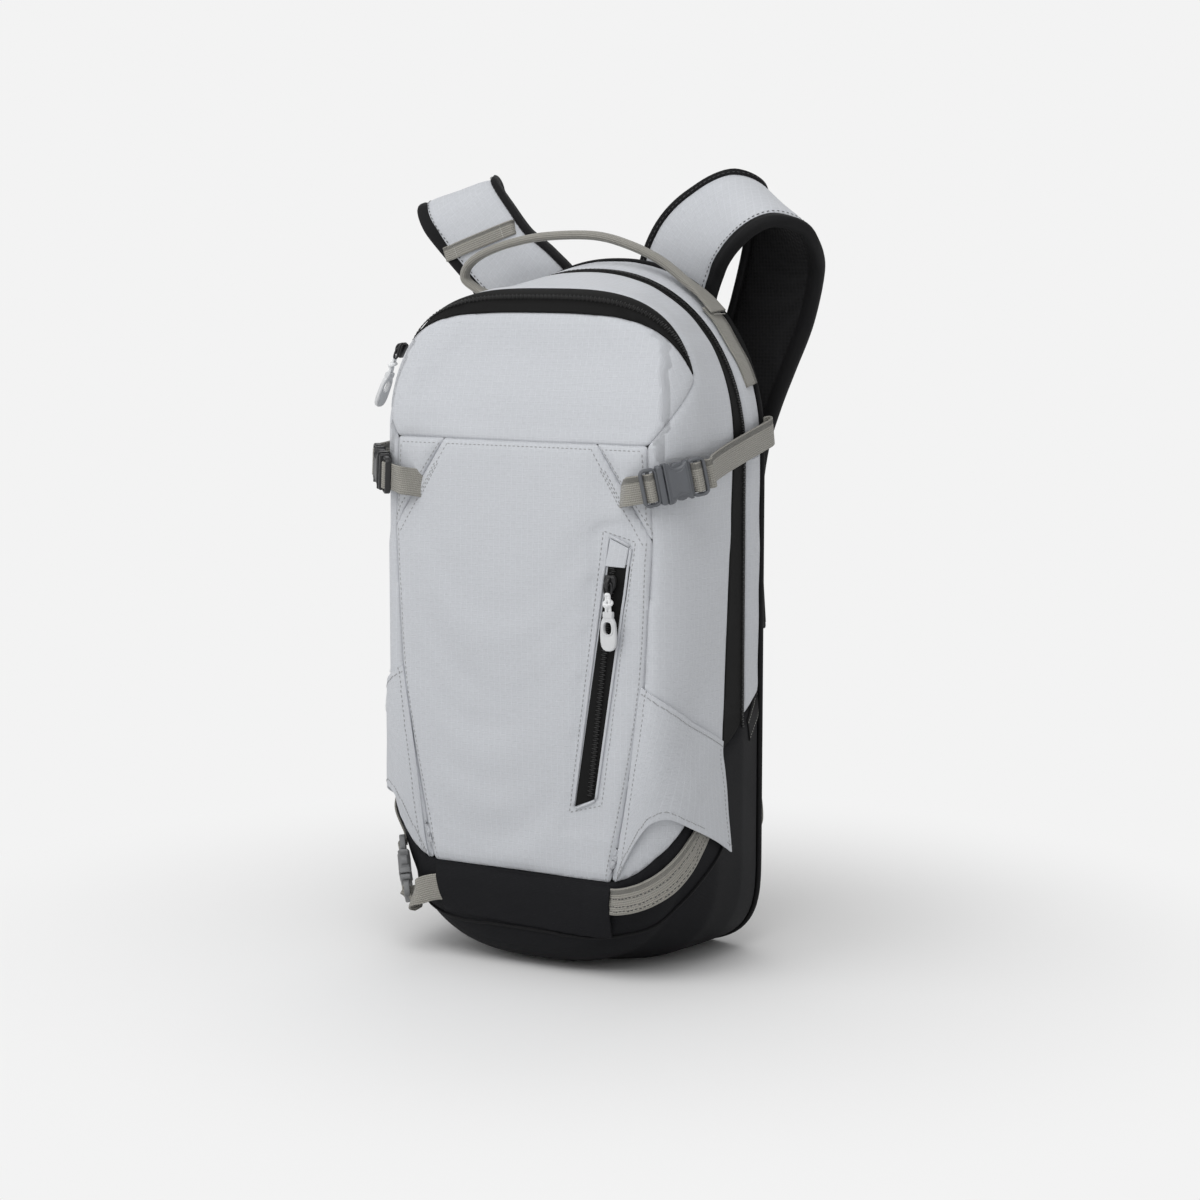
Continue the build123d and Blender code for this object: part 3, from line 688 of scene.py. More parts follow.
def cut_seams(bm):
    """Cuts the base's edge, both zip bands, and the seams of the pocket, front panel and corner tabs."""
    for v in bm.verts:
        v.co.z += BASE_FRONT_Z - base_edge(v.co.y)
    cut(bm, (0, 0, BASE_FRONT_Z), (0, 0, 1), lambda c: True)
    for v in bm.verts:
        v.co.z += base_edge(v.co.y) - BASE_FRONT_Z

    def above(c):
        return c.z > base_edge(c.y)

    cut(bm, (0, MAIN_ZIP_Y - ZIP_HALF, MAIN_ZIP_TOP), (0, 1, -MAIN_ZIP_FLARE), above)
    cut(bm, (0, MAIN_ZIP_Y + ZIP_HALF, 0), (0, 1, 0), above)
    cut(bm, (0, GOGGLE_REAR, GOGGLE_TIP_Z), (0, 1, GOGGLE_TAPER), lambda c: c.z > GOGGLE_TIP_Z - 1)
    cut(bm, (0, GOGGLE_REAR, 0), (0, 1, 0), lambda c: c.z > GOGGLE_TIP_Z - 6)
    cut(bm, (0, FRONT_Y, SEAM_Z), (0, 0, 1), lambda c: c.y < -55 and abs(c.x) < FRONT_SEAM[0][0] + 4)
    for side, s in SIDES.items():
        low = Vector((s * FRONT_SEAM[0][0], FRONT_Y + 0.6, SEAM_Z))
        high = Vector((s * BODY_X, GOGGLE_REAR, GOGGLE_TIP_Z))
        cut(bm, low, (high - low).cross(Vector((s * 0.7, -0.7, 0))),
            lambda c: SEAM_Z - 1 < c.z < GOGGLE_TIP_Z + 3 and s * c.x > 88 and c.y < GOGGLE_REAR + 7)
        for upper, lower in zip(FRONT_SEAM, FRONT_SEAM[1:]):
            slanted(bm, side, upper, lower, lambda x, c: c.y < -45 and x > 50)
        slanted(bm, side, TAB_CORNER, FRONT_SEAM[1], lambda x, c: c.z < SEAM_Z and c.y < -55 and 55 < x < 103)


def round_front_edge(bm):
    """Softens the turn from the pocket's face to the sides, with the seams held."""
    loose = [v for v in bm.verts if v.co.y < -46 and v.co.z > 290 and (abs(v.co.x) > 66 or v.co.z > 412)
             and not any(e.seam for e in v.link_edges)]
    for _ in range(16):
        bmesh.ops.smooth_vert(bm, verts=loose, factor=0.5, use_axis_x=True, use_axis_y=True, use_axis_z=True)


PANEL_SEEDS = {
    "front_panel_face": (0, FRONT_Y, 200), "goggle_pocket_face": (0, FRONT_Y, 420),
    "goggle_zip_band": (0, GOGGLE_ZIP_Y, 462), "side_gusset": (0, -10, 468),
    "main_zip_band": (0, MAIN_ZIP_Y, 475), "rear_gusset_band": (0, 45, 480), "black_base": (0, -20, 0.6),
    "corner_tab_right": (92, FRONT_Y, 345), "corner_tab_left": (-92, FRONT_Y, 345),
}


def split_panels(bm):
    """Names the panel of each face: a flood from each seed that stops at the seams."""
    bm.faces.ensure_lookup_table()
    label = {}
    centres = [f.calc_center_median() for f in bm.faces]
    tree = KDTree(len(centres))
    for i, c in enumerate(centres):
        tree.insert(c, i)
    tree.balance()
    for name, seed in PANEL_SEEDS.items():
        stack = [bm.faces[tree.find(Vector(seed))[1]]]
        while stack:
            face = stack.pop()
            if face.index in label:
                continue
            label[face.index] = name
            for e in face.edges:
                if not e.seam:
                    stack += [f for f in e.link_faces if f.index not in label]
    for face in bm.faces:
        if face.index not in label:
            near = [label[i] for _, i, _ in tree.find_n(centres[face.index], 40) if i in label]
            label[face.index] = near[0] if near else "side_gusset"
    return label


def relax_cloth(bm, label):
    """Lets the panels fill and wrinkle between their seams as cloth, and keeps the broad folds."""
    held = {"goggle_zip_band": 1.0, "main_zip_band": 1.0, "black_base": 0.55}
    weights = []
    for v in bm.verts:
        weight = max(held.get(label[f.index], 0.0) for f in v.link_faces)
        on_seam = any(e.seam or len(e.link_faces) == 1 for e in v.link_edges)
        flat = on_seam or v.co.z < 4 or by_a_zip(v.co) or behind_lower_buckle(v.co)
        weights.append(1.0 if flat else weight)
    verts, faces = [v.co.copy() for v in bm.verts], [[v.index for v in f.verts] for f in bm.faces]
    moved = simulate("shell_cloth", verts, faces, weights, 1.1, SIM_FRAMES, PUFF_CAP, tension_stiffness=30,
                     compression_stiffness=30, shear_stiffness=8, bending_stiffness=0.6, shrink_min=-0.012)
    moves = [Vector(new) - v.co for v, new in zip(bm.verts, moved)]
    neighbours = [[e.other_vert(v).index for e in v.link_edges] for v in bm.verts]
    for _ in range(7):
        around = [sum((moves[k] for k in near), Vector()) * (0.65 / len(near)) for near in neighbours]
        moves = [Vector() if weight == 1.0 else move * 0.35 + mean
                 for weight, move, mean in zip(weights, moves, around)]
    for v, move in zip(bm.verts, moves):
        v.co += move


SIM_FRAMES, PUFF_CAP = 18, 5.0
ZIP_TOP, ZIP_LOW = np.array([73.0, 298.0]), np.array([53.0, 120.0])


def by_a_zip(co):
    """True near the front zip and the flank zip, where the cloth is held flat."""
    x, y, z = co
    if y < -60 and 100 < z < 312:
        t = (ZIP_TOP[1] - z) / (ZIP_TOP[1] - ZIP_LOW[1])
        return abs(x - (ZIP_TOP[0] + t * (ZIP_LOW[0] - ZIP_TOP[0]))) < 15
    return x < -100 and 180 < z < 338 and abs(y + 40 - (z - 196) * 0.175) < 17


def behind_lower_buckle(co):
    """True on the base where the lower left buckle slides, which is held back."""
    return co.x < -86 and co.y < -15 and co.z > 50


def panel_uv(co, normal):
    """Cloth grain: upright on the front, wrapped round on the sides."""
    x, y, z = co
    if abs(normal[1]) > 0.75:
        return (x * MM, z * MM)
    if z < DOME_Z:
        return (math.copysign(BODY_X + y + 60, x) * MM, z * MM)
    return (BODY_X * math.atan2(z - DOME_Z, x) * MM, y * MM)


# each panel's CAD nodes, and how it looks if it isn't shell cloth
PANELS = {
    "front_panel_face": (("front_panel",), "shell"),
    "goggle_pocket_face": (("goggle_pocket_lower", "goggle_pocket_flap"), "shell"),
    "goggle_zip_band": (("goggle_zip_tape",), "tape"), "side_gusset": (("front_gusset",), "shell"),
    "main_zip_band": (("main_zip_tape",), "tape"), "rear_gusset_band": (("rear_gusset",), "shell"),
    "black_base": (("base_tub",), "black"), "corner_tab_right": (("corner_tabs",), "shell"),
    "corner_tab_left": ((), "shell"),
}


def panel_rise(name, co, near):
    """How far a panel stands out of the seams' surface, turned in where its edge is near."""
    if name == "goggle_zip_band":
        return -0.4
    if name == "main_zip_band":
        return -0.8
    full = 0.3 if by_a_zip(co) else 0.7 if name == "black_base" else 1.6
    if name == "black_base" and behind_lower_buckle(co):
        full = -1.8
    return full * (1 - math.exp(-near / 5.0)) - 1.5 * math.exp(-((near / 2.2) ** 2))


def make_panels(bm, label):
    """One piece for each panel, with its edges turned in at the seams and a cloth's thickness."""
    made = []
    for name, (nodes, look) in PANELS.items():
        faces = [f for f in bm.faces if label[f.index] == name]
        order = {}
        for f in faces:
            for v in f.verts:
                order.setdefault(v, len(order))
        chosen = {f.index for f in faces}
        edge = [v for v in order if any(len(e.link_faces) == 1 or
                                        {f.index in chosen for f in e.link_faces} == {True, False}
                                        for e in v.link_edges)]
        rim = KDTree(len(edge))
        for i, v in enumerate(edge):
            rim.insert(v.co, i)
        rim.balance()
        points = [v.co + v.normal * panel_rise(name, v.co, rim.find(v.co)[2]) for v in order]
        obj = make_piece(name, points, [[order[v] for v in f.verts] for f in faces], look, None, nodes,
                         [panel_uv(v.co, v.normal) for v in order])
        made.append(modify(obj, FINER, thickened(1.6)))
        if name == "goggle_pocket_face":
            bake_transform(obj)
        else:
            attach(obj, "pack")
    return made


# ---- laying pieces on the shell -----------------------------------------------------------------
def surface_of(objects):
    """Search tree, in millimetres, over what the eye sees of some pieces."""
    verts, polys = [], []
    for obj in objects:
        start = len(verts)
        verts += [v.co / MM for v in obj.data.vertices]
        polys += [[start + i for i in p.vertices] for p in obj.data.polygons]
    return BVHTree.FromPolygons(verts, polys)


def settle(point):
    """The place on the shell's outer face nearest a point, and its outward normal."""
    near, normal, _, _ = skin_tree.find_nearest(Vector(point))
    hit, _, _, _ = outer.ray_cast(near + normal * 25, -normal)
    return np.array(hit if hit is not None else near), np.array(normal)


def settled_line(points, pitch, lift=0.0):
    """A given line, evenly stepped and moved onto the shell, with the normals along it."""
    line = curve_through(points, 8)
    line = resample(line, max(int(lengths_along(line)[-1] / pitch), 2))
    spots = [settle(p) for p in line]
    return np.array([p + n * lift for p, n in spots]), np.array([n for _, n in spots])


def stitch(bag, points, pitch=3.4, long=2.3, wide=0.75, high=0.4, lift=0.0):
    """A row of machine stitches along a line on the shell."""
    line, normals = settled_line(points, pitch, lift)
    for a, b, n in zip(line, line[1:], normals):
        bag.capsule((a + b) / 2 - n * 0.12, unit(b - a), n, long, wide, high)


def stitch_on(bag, obj, row, long, high):
    """Stitches from point to point of a row, dropped onto a piece that already lies on the shell."""
    tree = surface_of([obj])
    for p, q in zip(row, row[1:]):
        out = np.array(skin_tree.find_nearest(Vector(p))[1])
        spot, normal, _, _ = tree.find_nearest(Vector((p + q) / 2 + out * 6))
        n = np.array(normal)
        bag.capsule(np.array(spot) - n * 0.1, unit(q - p), n, long, 0.7, high)


def zip_coil(name, line, normals, long, pitch):
    """Interlocked nylon coil: short bars across the line, in turn from one side and the other."""
    bag = Bag()
    for i, (a, b, n) in enumerate(zip(line, line[1:], normals)):
        along = unit(b - a)
        across = unit(np.cross(n, along))
        side = 0.45 if i % 2 else -0.45
        bag.capsule(a + across * side, across, n, long, pitch * 0.66, 0.85, along)
    bag.piece(name, "coil")


def welt(name, a, b, pitch, lift, width, thick):
    """Turned edge of cloth beside a zip."""
    line, normals = settled_line([a, b], pitch, lift)
    sweep(name, line, np.cross(normals, np.gradient(line, axis=0)), band_section(width, thick), "shell")


def patch(name, top, bottom, look, replaces=(), lift=None, steps=(44, 24), thick=1.4, evened=0):
    """Cloth laid on the shell between a top edge and a bottom edge, standing off it by lift(u, v)."""
    a, b = (resample(curve_through(edge, 8), steps[0]) for edge in (top, bottom))
    verts, uvs = [], []
    wide, tall = lengths_along(a)[-1], np.linalg.norm(a[0] - b[0])
    for i in range(steps[0] + 1):
        for j in range(steps[1] + 1):
            u, v = i / steps[0], j / steps[1]
            spot, normal = settle(a[i] * (1 - v) + b[i] * v)
            verts.append(spot + normal * lift(u, v))
            uvs.append((u * wide * MM, v * tall * MM))
    row = steps[1] + 1
    grid = np.array(verts).reshape(steps[0] + 1, row, 3)
    for _ in range(evened):
        wide_grid = np.pad(grid, ((1, 1), (1, 1), (0, 0)), mode="reflect", reflect_type="odd")
        around = wide_grid[:-2, 1:-1] + wide_grid[2:, 1:-1] + wide_grid[1:-1, :-2] + wide_grid[1:-1, 2:]
        grid = grid * 0.4 + around * 0.15
    verts = list(grid.reshape(-1, 3))
    faces = grid_faces(steps[0] + 1, row, turned=True)
    middle = faces[len(faces) // 2 + steps[1] // 2]
    p, q, r = (verts[middle[k]] for k in range(3))
    if np.dot(np.cross(q - p, r - q), settle(p)[1]) < 0:
        faces = [tuple(reversed(f)) for f in faces]
    obj = make_piece(name, verts, faces, look, None, replaces, uvs)
    return modify(obj, thickened(thick), softened(0.35), body="pack")


def ripple(u, v, size):
    """Slow uneven waves for loose cloth."""
    return size * (math.sin(5.1 * u + 2.2 * v) * 0.5 + math.sin(9.7 * u - 6.3 * v + 1.0) * 0.3
                   + math.sin(3.3 * v + 14.0 * u * v) * 0.2)


class Place:
    """Local frame of a small fitting: x along it, z out of the pack."""

    def __init__(self, at, along, out):
        self.at = np.array(at, float)
        self.x = unit(along)
        self.z = unit(np.array(out, float) - self.x * np.dot(out, self.x))
        self.y = np.cross(self.z, self.x)

    def __call__(self, x, y, z):
        return self.at + self.x * x + self.y * y + self.z * z

    def on(self, side):
        """The same place on the named half; given for the right."""
        flip = flip_for(side)
        return Place(self.at * flip, self.x * flip, self.z * flip) if side == "left" else self

    def moved(self, x, y, z):
        other = Place(self.at, self.x, self.z)
        other.at = self(x, y, z)
        return other


def rounded(x0, x1, half, r, n=5):
    """Rectangle with round corners, as wide as half on each side of y = 0, going round counter-clockwise."""
    r = min(r, (x1 - x0) / 2 - 1e-3, half - 1e-3)
    points = []
    for cx, cy, start in ((x1 - r, half - r, 0), (x0 + r, half - r, 90), (x0 + r, r - half, 180),
                          (x1 - r, r - half, 270)):
        for k in range(n + 1):
            angle = math.radians(start + 90 * k / n)
            points.append((cx + r * math.cos(angle), cy + r * math.sin(angle)))
    return points


def both_edges(upper):
    """Closed outline from its upper edge, given from right to left, and the same edge mirrored."""
    return upper + [(x, -y) for x, y in reversed(upper)]


def taken_in(outline, amount):
    p = np.array(outline, float)
    ahead = np.roll(p, -1, 0) - np.roll(p, 1, 0)
    out = np.stack([ahead[:, 1], -ahead[:, 0]], axis=1)
    return p - out / np.linalg.norm(out, axis=1, keepdims=True) * amount


def loops(outline, z0, z1, edge):
    """Outline at four heights, with a small round-over at the top and the bottom."""
    inner = taken_in(outline, edge)
    full = np.array(outline, float)
    return [(inner, z0), (full, z0 + edge), (full, z1 - edge), (inner, z1)]


def add_slab(bag, place, outline, z0, z1, edge=0.6):
    """Moulded plate with softened edges."""
    count = len(outline)
    verts = [place(x, y, z) for ring, z in loops(outline, z0, z1, edge) for x, y in ring]
    bag.add(verts, tube_faces(4, count) + [tuple(reversed(range(count))), tuple(range(3 * count, 4 * count))])


def add_frame(bag, place, outline, hole, z0, z1, edge=0.6):
    """Moulded plate with a hole; both outlines have the same number of points."""
    wider = taken_in(hole, -edge)
    inside = [(wider, z1), (hole, z1 - edge), (hole, z0 + edge), (wider, z0)]
    verts = [place(x, y, z) for ring, z in loops(outline, z0, z1, edge) + inside for x, y in ring]
    bag.add(verts, tube_faces(8, len(outline), closed=True))


# ---- side release buckles -----------------------------------------------------------------------
BUCKLE_WAIST = [(13.2, 12.6), (11.4, 12.7), (10.2, 12.0), (9.2, 10.8), (7.4, 9.9), (5.2, 9.6), (3.0, 10.0),
                (1.6, 11.2), (0.4, 12.6), (-1.0, 13.4), (-4.0, 13.4)]
PRONG = [(-4.6, 7.6), (8.4, 7.6), (9.8, 9.0), (9.6, 10.8), (8.0, 12.2), (5.4, 12.7), (3.0, 12.1), (1.8, 10.6),
         (-4.6, 10.6)]


def add_ladder(bag, place, x0, x1, half):
    """Slotted frame that the webbing is threaded through."""
    add_frame(bag, place, rounded(x0, x1, half, 4.2), rounded(x0 + 2.1, x1 - 2.1, half - 2.2, 1.2), -2.1, 2.1)
    middle = (x0 + x1) / 2
    add_slab(bag, place, rounded(middle - 1.1, middle + 1.1, half - 1.5, 0.6), -1.5, 1.3, 0.3)


def buckle(name, place, s, look, socket_body, plug_body, socket_nodes, plug_nodes):
    """Side release buckle, s times the 20 mm size: a waisted socket, and a plug with prongs and a guide."""
    bag = Bag()
    add_slab(bag, place, both_edges([(x, y * s) for x, y in BUCKLE_WAIST]), -4.2, 4.0, 1.3)
    add_slab(bag, place, both_edges([(x * 0.74 + 1.2, y * s * 0.72) for x, y in BUCKLE_WAIST]), 3.6, 4.5, 0.5)
    add_slab(bag, place, rounded(-4.0, -2.6, 13.0 * s, 0.6), -4.5, 4.5, 0.4)
    add_ladder(bag, place, 12.4, 25.0, 12.8 * s)
    modify(bag.piece(name.format("socket"), look, socket_body, socket_nodes), softened(0.25))
    bag = Bag()
    add_slab(bag, place, rounded(-8.8, -4.4, 13.0 * s, 1.8), -3.9, 3.9, 0.9)
    add_ladder(bag, place, -20.4, -8.2, 12.8 * s)
    add_slab(bag, place, rounded(-4.6, 8.0, 1.5, 0.7), -2.1, 2.1, 0.4)
    add_slab(bag, place, [(x, y * s) for x, y in PRONG], -2.6, 2.6)
    add_slab(bag, place, [(x, -y * s) for x, y in reversed(PRONG)], -2.6, 2.6)
    modify(bag.piece(name.format("plug"), look, plug_body, plug_nodes), softened(0.25))


def wrap_points(place, x0, x1, back=-0.8):
    """Local line of webbing that goes over a ladder's middle bar, from the slot at x0 to the slot at x1."""
    middle = (x0 + x1) / 2
    return [place(x0, 0, back), place(x0 + (middle - x0) * 0.45, 0, 1.6), place(middle, 0, 2.7),
            place(x1 - (x1 - middle) * 0.45, 0, 1.6), place(x1, 0, back)]


def upward(v, axis=2):
    return v if v[axis] > 0 else -v


TAB_ROOT = [(75.0, -69.0, 329.6), (81.5, -76.2, 331.6), (88.5, -83.0, 333.2)]
STRAP_FOLD = [(128, -38, 346.8), (124.6, -12, 351.5), (123.4, 20, 357.5), (122.4, 46, 362.0),
              (122.0, 60, 364.6), (119.5, 66.5, 366.0), (116.5, 66.0, 366.0), (116.0, 61.5, 365.4)]


def compression_side(side):
    """One corner: short tab, buckle, and the strap that runs back to the rear edge."""
    flip = flip_for(side)
    place = Place((113.5, -69.5, 339.0), (0.69, 0.67, 0.20), (0.70, -0.71, 0.0)).on(side)
    moving = "compression_" + side
    look = "dark_plastic" if side == "right" else "black_plastic"
    buckle("compression_buckle_{}_" + side, place, 1.0, look, moving, "pack", ("compression_socket_" + side,),
           ("compression_plug_" + side,))
    # tab: out of the diagonal seam, under the outer bar, over the middle one
    line = [np.array(p) * flip for p in TAB_ROOT] + [place(-19.6, 0, -2.7)] + wrap_points(place, -17.6, -10.6)
    across = [np.array((0.16, 0, 1)) * flip] * 3 + [upward(place.y)] * 6
    web_band("compression_tab_web_" + side, line, across, 19.0, "pack",
             ("compression_tabs",) if side == "right" else ())
    line = wrap_points(place, 15.2, 22.4) + [place(24.4, 0, -2.9), place(30.0, 0, -2.2)]
    line += [np.array(p) * flip for p in STRAP_FOLD]
    across = [upward(place.y)] * 7 + [np.array((0, -0.2, 1.0))] * 8
    strap = web_band("compression_web_" + side, line, across, 19.6, None, ("compression_strap_" + side,))
    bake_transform(strap)


# ---- zips ---------------------------------------------------------------------------------------
def zip_slider_piece(name, place, body, nodes):
    """Slider: flared body with side walls and a raised bridge."""
    bag = Bag()
    upper = [(5.5, 1.9), (4.6, 3.0), (2.0, 3.9), (-2.0, 4.3), (-4.4, 4.1), (-5.5, 2.8)]
    add_slab(bag, place, both_edges(upper), 1.2, 3.1, 0.5)
    add_slab(bag, place, both_edges([(x * 0.96, y * 0.96) for x, y in upper]), 0.0, 1.0, 0.3)
    add_slab(bag, place, both_edges([(x * 0.9, y * 0.35) for x, y in upper]), 0.8, 1.6, 0.2)
    for angle in np.linspace(0, math.pi, 9):
        c, s = math.cos(angle), math.sin(angle)
        ahead = place.x * -s * 3.9 + place.z * c * 3.3
        link = Place(place(3.9 * c, 0, 3.0 + 3.3 * s), ahead, place.y)
        add_slab(bag, link, rounded(-0.95, 0.95, 0.6, 0.4, 3), -1.2, 1.2, 0.25)
    bag.piece(name, "metal", body, nodes)


EYE = 4.3  # height of the pull's ring above the tape
PULL_LOOP = [(0, -2.4, 0), (3, -2.9, 0.1), (6.4, -2.2, 0.2), (7.6, 0, 0.2), (6.4, 2.2, 0.2), (3, 2.9, 0.1),
             (0, 2.4, 0), (-0.7, 0, 0), (0, -2.4, 0)]
PULL_CORD = [(20.5, -1.3, 0), (16, -1.2, 0.2), (13, -1.5, 0.9), (10, -1.0, 0.5), (7.2, -1.0, 0.9)]
PULL_CORD += [(6.7, 0, 1.3)] + [(x, -y, z) for x, y, z in reversed(PULL_CORD)]
PULL_KNOT = [(12.2, -2.4, 0.2), (13.2, -1.4, 2.2), (13.8, 0.6, 2.5), (13.4, 2.4, 1.0), (12.2, 2.2, -0.8),
             (11.2, 0.4, -1.4), (11.4, -1.6, -0.8), (12.8, -2.4, 0.9), (14.6, -1.2, 1.8), (14.9, 0.9, 1.4)]
PULL_TAB = [(44.5, 1.6), (43.6, 3.6), (41.6, 5.1), (38.5, 5.8), (34, 5.9), (29, 5.7), (25.5, 5.2),
            (23.4, 4.3), (22.2, 3.4), (19.0, 3.2)]
FINGER_HOLE = [(33.4, 0.9), (33.1, 1.7), (32.3, 2.4), (31.2, 2.8), (29.6, 2.9), (28.2, 2.9), (27.1, 2.7),
               (26.1, 2.3), (25.4, 1.6), (25.2, 0.8)]


def zip_pull_piece(name, place, body, nodes):
    """Pull: wire loop in the bridge, doubled cord with a knot, and a moulded tab with a finger hole."""
    flat = place.moved(0, 0, EYE)
    tube(name + "_loop", [flat(*p) for p in PULL_LOOP], 0.75, "metal", body, sides=8, steps=5)
    tube(name + "_cord", [flat(*p) for p in PULL_CORD], 1.15, "cord", body, nodes)
    tube(name + "_knot", [flat(*p) for p in PULL_KNOT], 1.2, "cord", body)
    bag, hole = Bag(), both_edges(FINGER_HOLE)
    add_frame(bag, flat, both_edges(PULL_TAB), hole, -1.5, 1.5, 0.55)
    rim = [(x, y * 1.22) for x, y in taken_in(hole, -0.8)]
    add_frame(bag, flat, rim, taken_in(hole, -0.05), 1.2, 2.0, 0.3)
    add_slab(bag, flat, rounded(18.2, 22.6, 3.6, 1.0), -1.9, 1.9, 0.5)
    modify(bag.piece(name + "_tab", "pull_plastic", body), softened(0.3))


def front_zip_parts():
    """Front pocket's zip: stitched window with a turned edge, coil, garage, slider and pull."""
    window = [(71.3, 301.1), (85.4, 295.4), (58.8, 125.5), (44.5, 118.8)]
    tl, tr, br, bl = corners = [np.array((x, FRONT_Y - 3, z)) for x, z in window]
    top, low = [tl + (-1.2, 0, -14), tr + (1.2, 0, -12)], [bl + (-0.6, 0, -0.4), br + (0.6, 0, -0.4)]
    patch("front_zip_tape_cloth", top, low, "tape", ("front_zip_tape",), lambda u, v: 0.35, (10, 60), 0.8)

    def hood(u, v):
        return 0.9 + 1.1 * math.sin(math.pi * u) ** 0.5 * (0.4 + 0.6 * v)

    patch("front_zip_garage_cloth", [tl, tr], [(67.4, FRONT_Y, 282.6), (82.8, FRONT_Y, 282.2)], "shell",
          ("front_zip_garage",), hood, (20, 16), 1.1)
    top, low = np.array((74.0, FRONT_Y - 3, 284.0)), np.array((56.3, FRONT_Y - 3, 126.0))
    zip_coil("front_zip_coil", *settled_line([top, low], 1.45, 0.9), 4.6, 1.45)
    for k, (a, b) in enumerate(zip(corners, corners[1:] + corners[:1])):
        outward = unit(np.cross(b - a, (0, 1, 0))) * 1.6
        welt(f"front_zip_welt_{k}", a + outward, b + outward, 4.0, 0.7, 1.9, 1.5)
    outside = ((-5.6, 0, 4.6), (5.0, 0, 4.2), (5.6, 0, -4.4), (-5.0, 0, -4.8))
    border = [corner + away for corner, away in zip(corners, outside)]
    for a, b in zip(border, border[1:] + border[:1]):
        stitch(stitches["stitch"], [a, b])
    slope, at = unit(low - top), (72.6, FRONT_Y - 2.1, 271.5)
    zip_slider_piece("front_slider", Place(at, slope, (0, -1, 0)), "front_slider", ("front_zip_slider",))
    hang = Place(at, slope + (0.13, 0, 0), (0, -1, 0))
    zip_pull_piece("front_pull", hang, "front_pull", ("front_zip_pull",))


def arch_zip_line(front_of, back_of, pitch, low, high, lift=0.5):
    """Middle of an arched zip's band, followed round the shell."""
    line = []
    for angle in np.radians(np.linspace(low, high, 260)):
        out = Vector((math.cos(angle), 0, math.sin(angle)))
        z = 440.0
        for _ in range(4):
            start = Vector((0, (front_of(z) + back_of(z)) / 2, 340)) + out * 240
            hit = outer.ray_cast(start, -out)[0]
            if hit is None:
                break
            z = hit.z
        if hit is not None:
            line.append(np.array(hit))
    line = resample(np.array(line), int(lengths_along(line)[-1] / pitch))
    normals = [np.array(skin_tree.find_nearest(Vector(p))[1]) for p in line]
    return np.array([p + n * lift for p, n in zip(line, normals)]), normals


def goggle_front_edge(z):
    """Front edge of the goggle zip's band after the pocket's face is leant back."""
    return leant_back(GOGGLE_REAR - GOGGLE_TAPER * max(z - GOGGLE_TIP_Z, 0), z)


def arched_zips():
    line, normals = arch_zip_line(goggle_front_edge, lambda z: GOGGLE_REAR, 1.6, 36, 144)
    zip_coil("goggle_zip_coil", line, normals, 4.2, 1.6)
    line, normals = arch_zip_line(lambda z: MAIN_ZIP_Y, lambda z: MAIN_ZIP_Y, 1.7, -56, 236)
    zip_coil("main_zip_coil", line, normals, 4.2, 1.7)


def flank_zip():
    """Zip on the left flank, above the wing."""
    low, top = np.array((-119.0, -40.0, 196.0)), np.array((-119.0, -18.0, 322.0))
    side = np.array((0, 6.2, -1.0))
    patch("side_zip_tape_cloth", [top - side, top + side], [low - side, low + side], "tape",
          ("side_zip_tape",), lambda u, v: 0.6, (8, 40), 0.8)
    zip_coil("side_zip_coil", *settled_line([top, low], 1.45, 1.0), 4.4, 1.45)
    for k, s in enumerate((-1, 1)):
        welt(f"side_zip_welt_{k}", top + side * s * 1.1, low + side * s * 1.1, 5.0, 0.9, 3.0, 1.6)
        stitch(stitches["stitch"], [top + side * s * 1.55, low + side * s * 1.55])


def other_pulls():
    """Sliders and pulls of the goggle, main and flank zips, where the CAD has them."""
    rest = math.radians(24)
    out = np.array((-math.cos(rest), 0, math.sin(rest)))
    along = np.array((-math.sin(rest), 0, -math.cos(rest)))
    at = np.array((-43.0, GOGGLE_ZIP_Y, 388.0)) + out * 77.2
    run = unit(np.array((0, 22.0, 126.0)))
    places = {
        "goggle": Place(at, along, out),
        "main": Place((-119.7, MAIN_ZIP_Y, 172.0), (0, 0, -1), (-1, 0, 0)),
        "side": Place(np.array((-120.9, -40.0, 196.0)) + run * 10, -run, (-1, 0, 0)),
    }
    for name, place in places.items():
        zip_slider_piece(name + "_slider", place, name + "_slider", (name + "_zip_slider",))
        zip_pull_piece(name + "_pull", place, name + "_pull", (name + "_zip_pull",))


# ---- wings, base flap, ski loop -----------------------------------------------------------------
WING_TOP = [(94.4, -73.8, 203.7), (104.3, -70.6, 197.0), (111.5, -62.7, 189.4), (116.2, -49.9, 180.8),
            (118.0, -30.5, 170.8), (119.0, -8.0, 159.5)]
WING_LOW = [(74.5, -73.6, 69.8), (85.5, -73.1, 91.0), (96.0, -71.5, 109.3), (100.5, -70.0, 114.2),
            (105.6, -66.9, 117.0), (109.0, -63.6, 116.2), (114.7, -51.6, 108.4), (118.0, -27.1, 96.1),
            (119.0, -1.5, 82.0)]


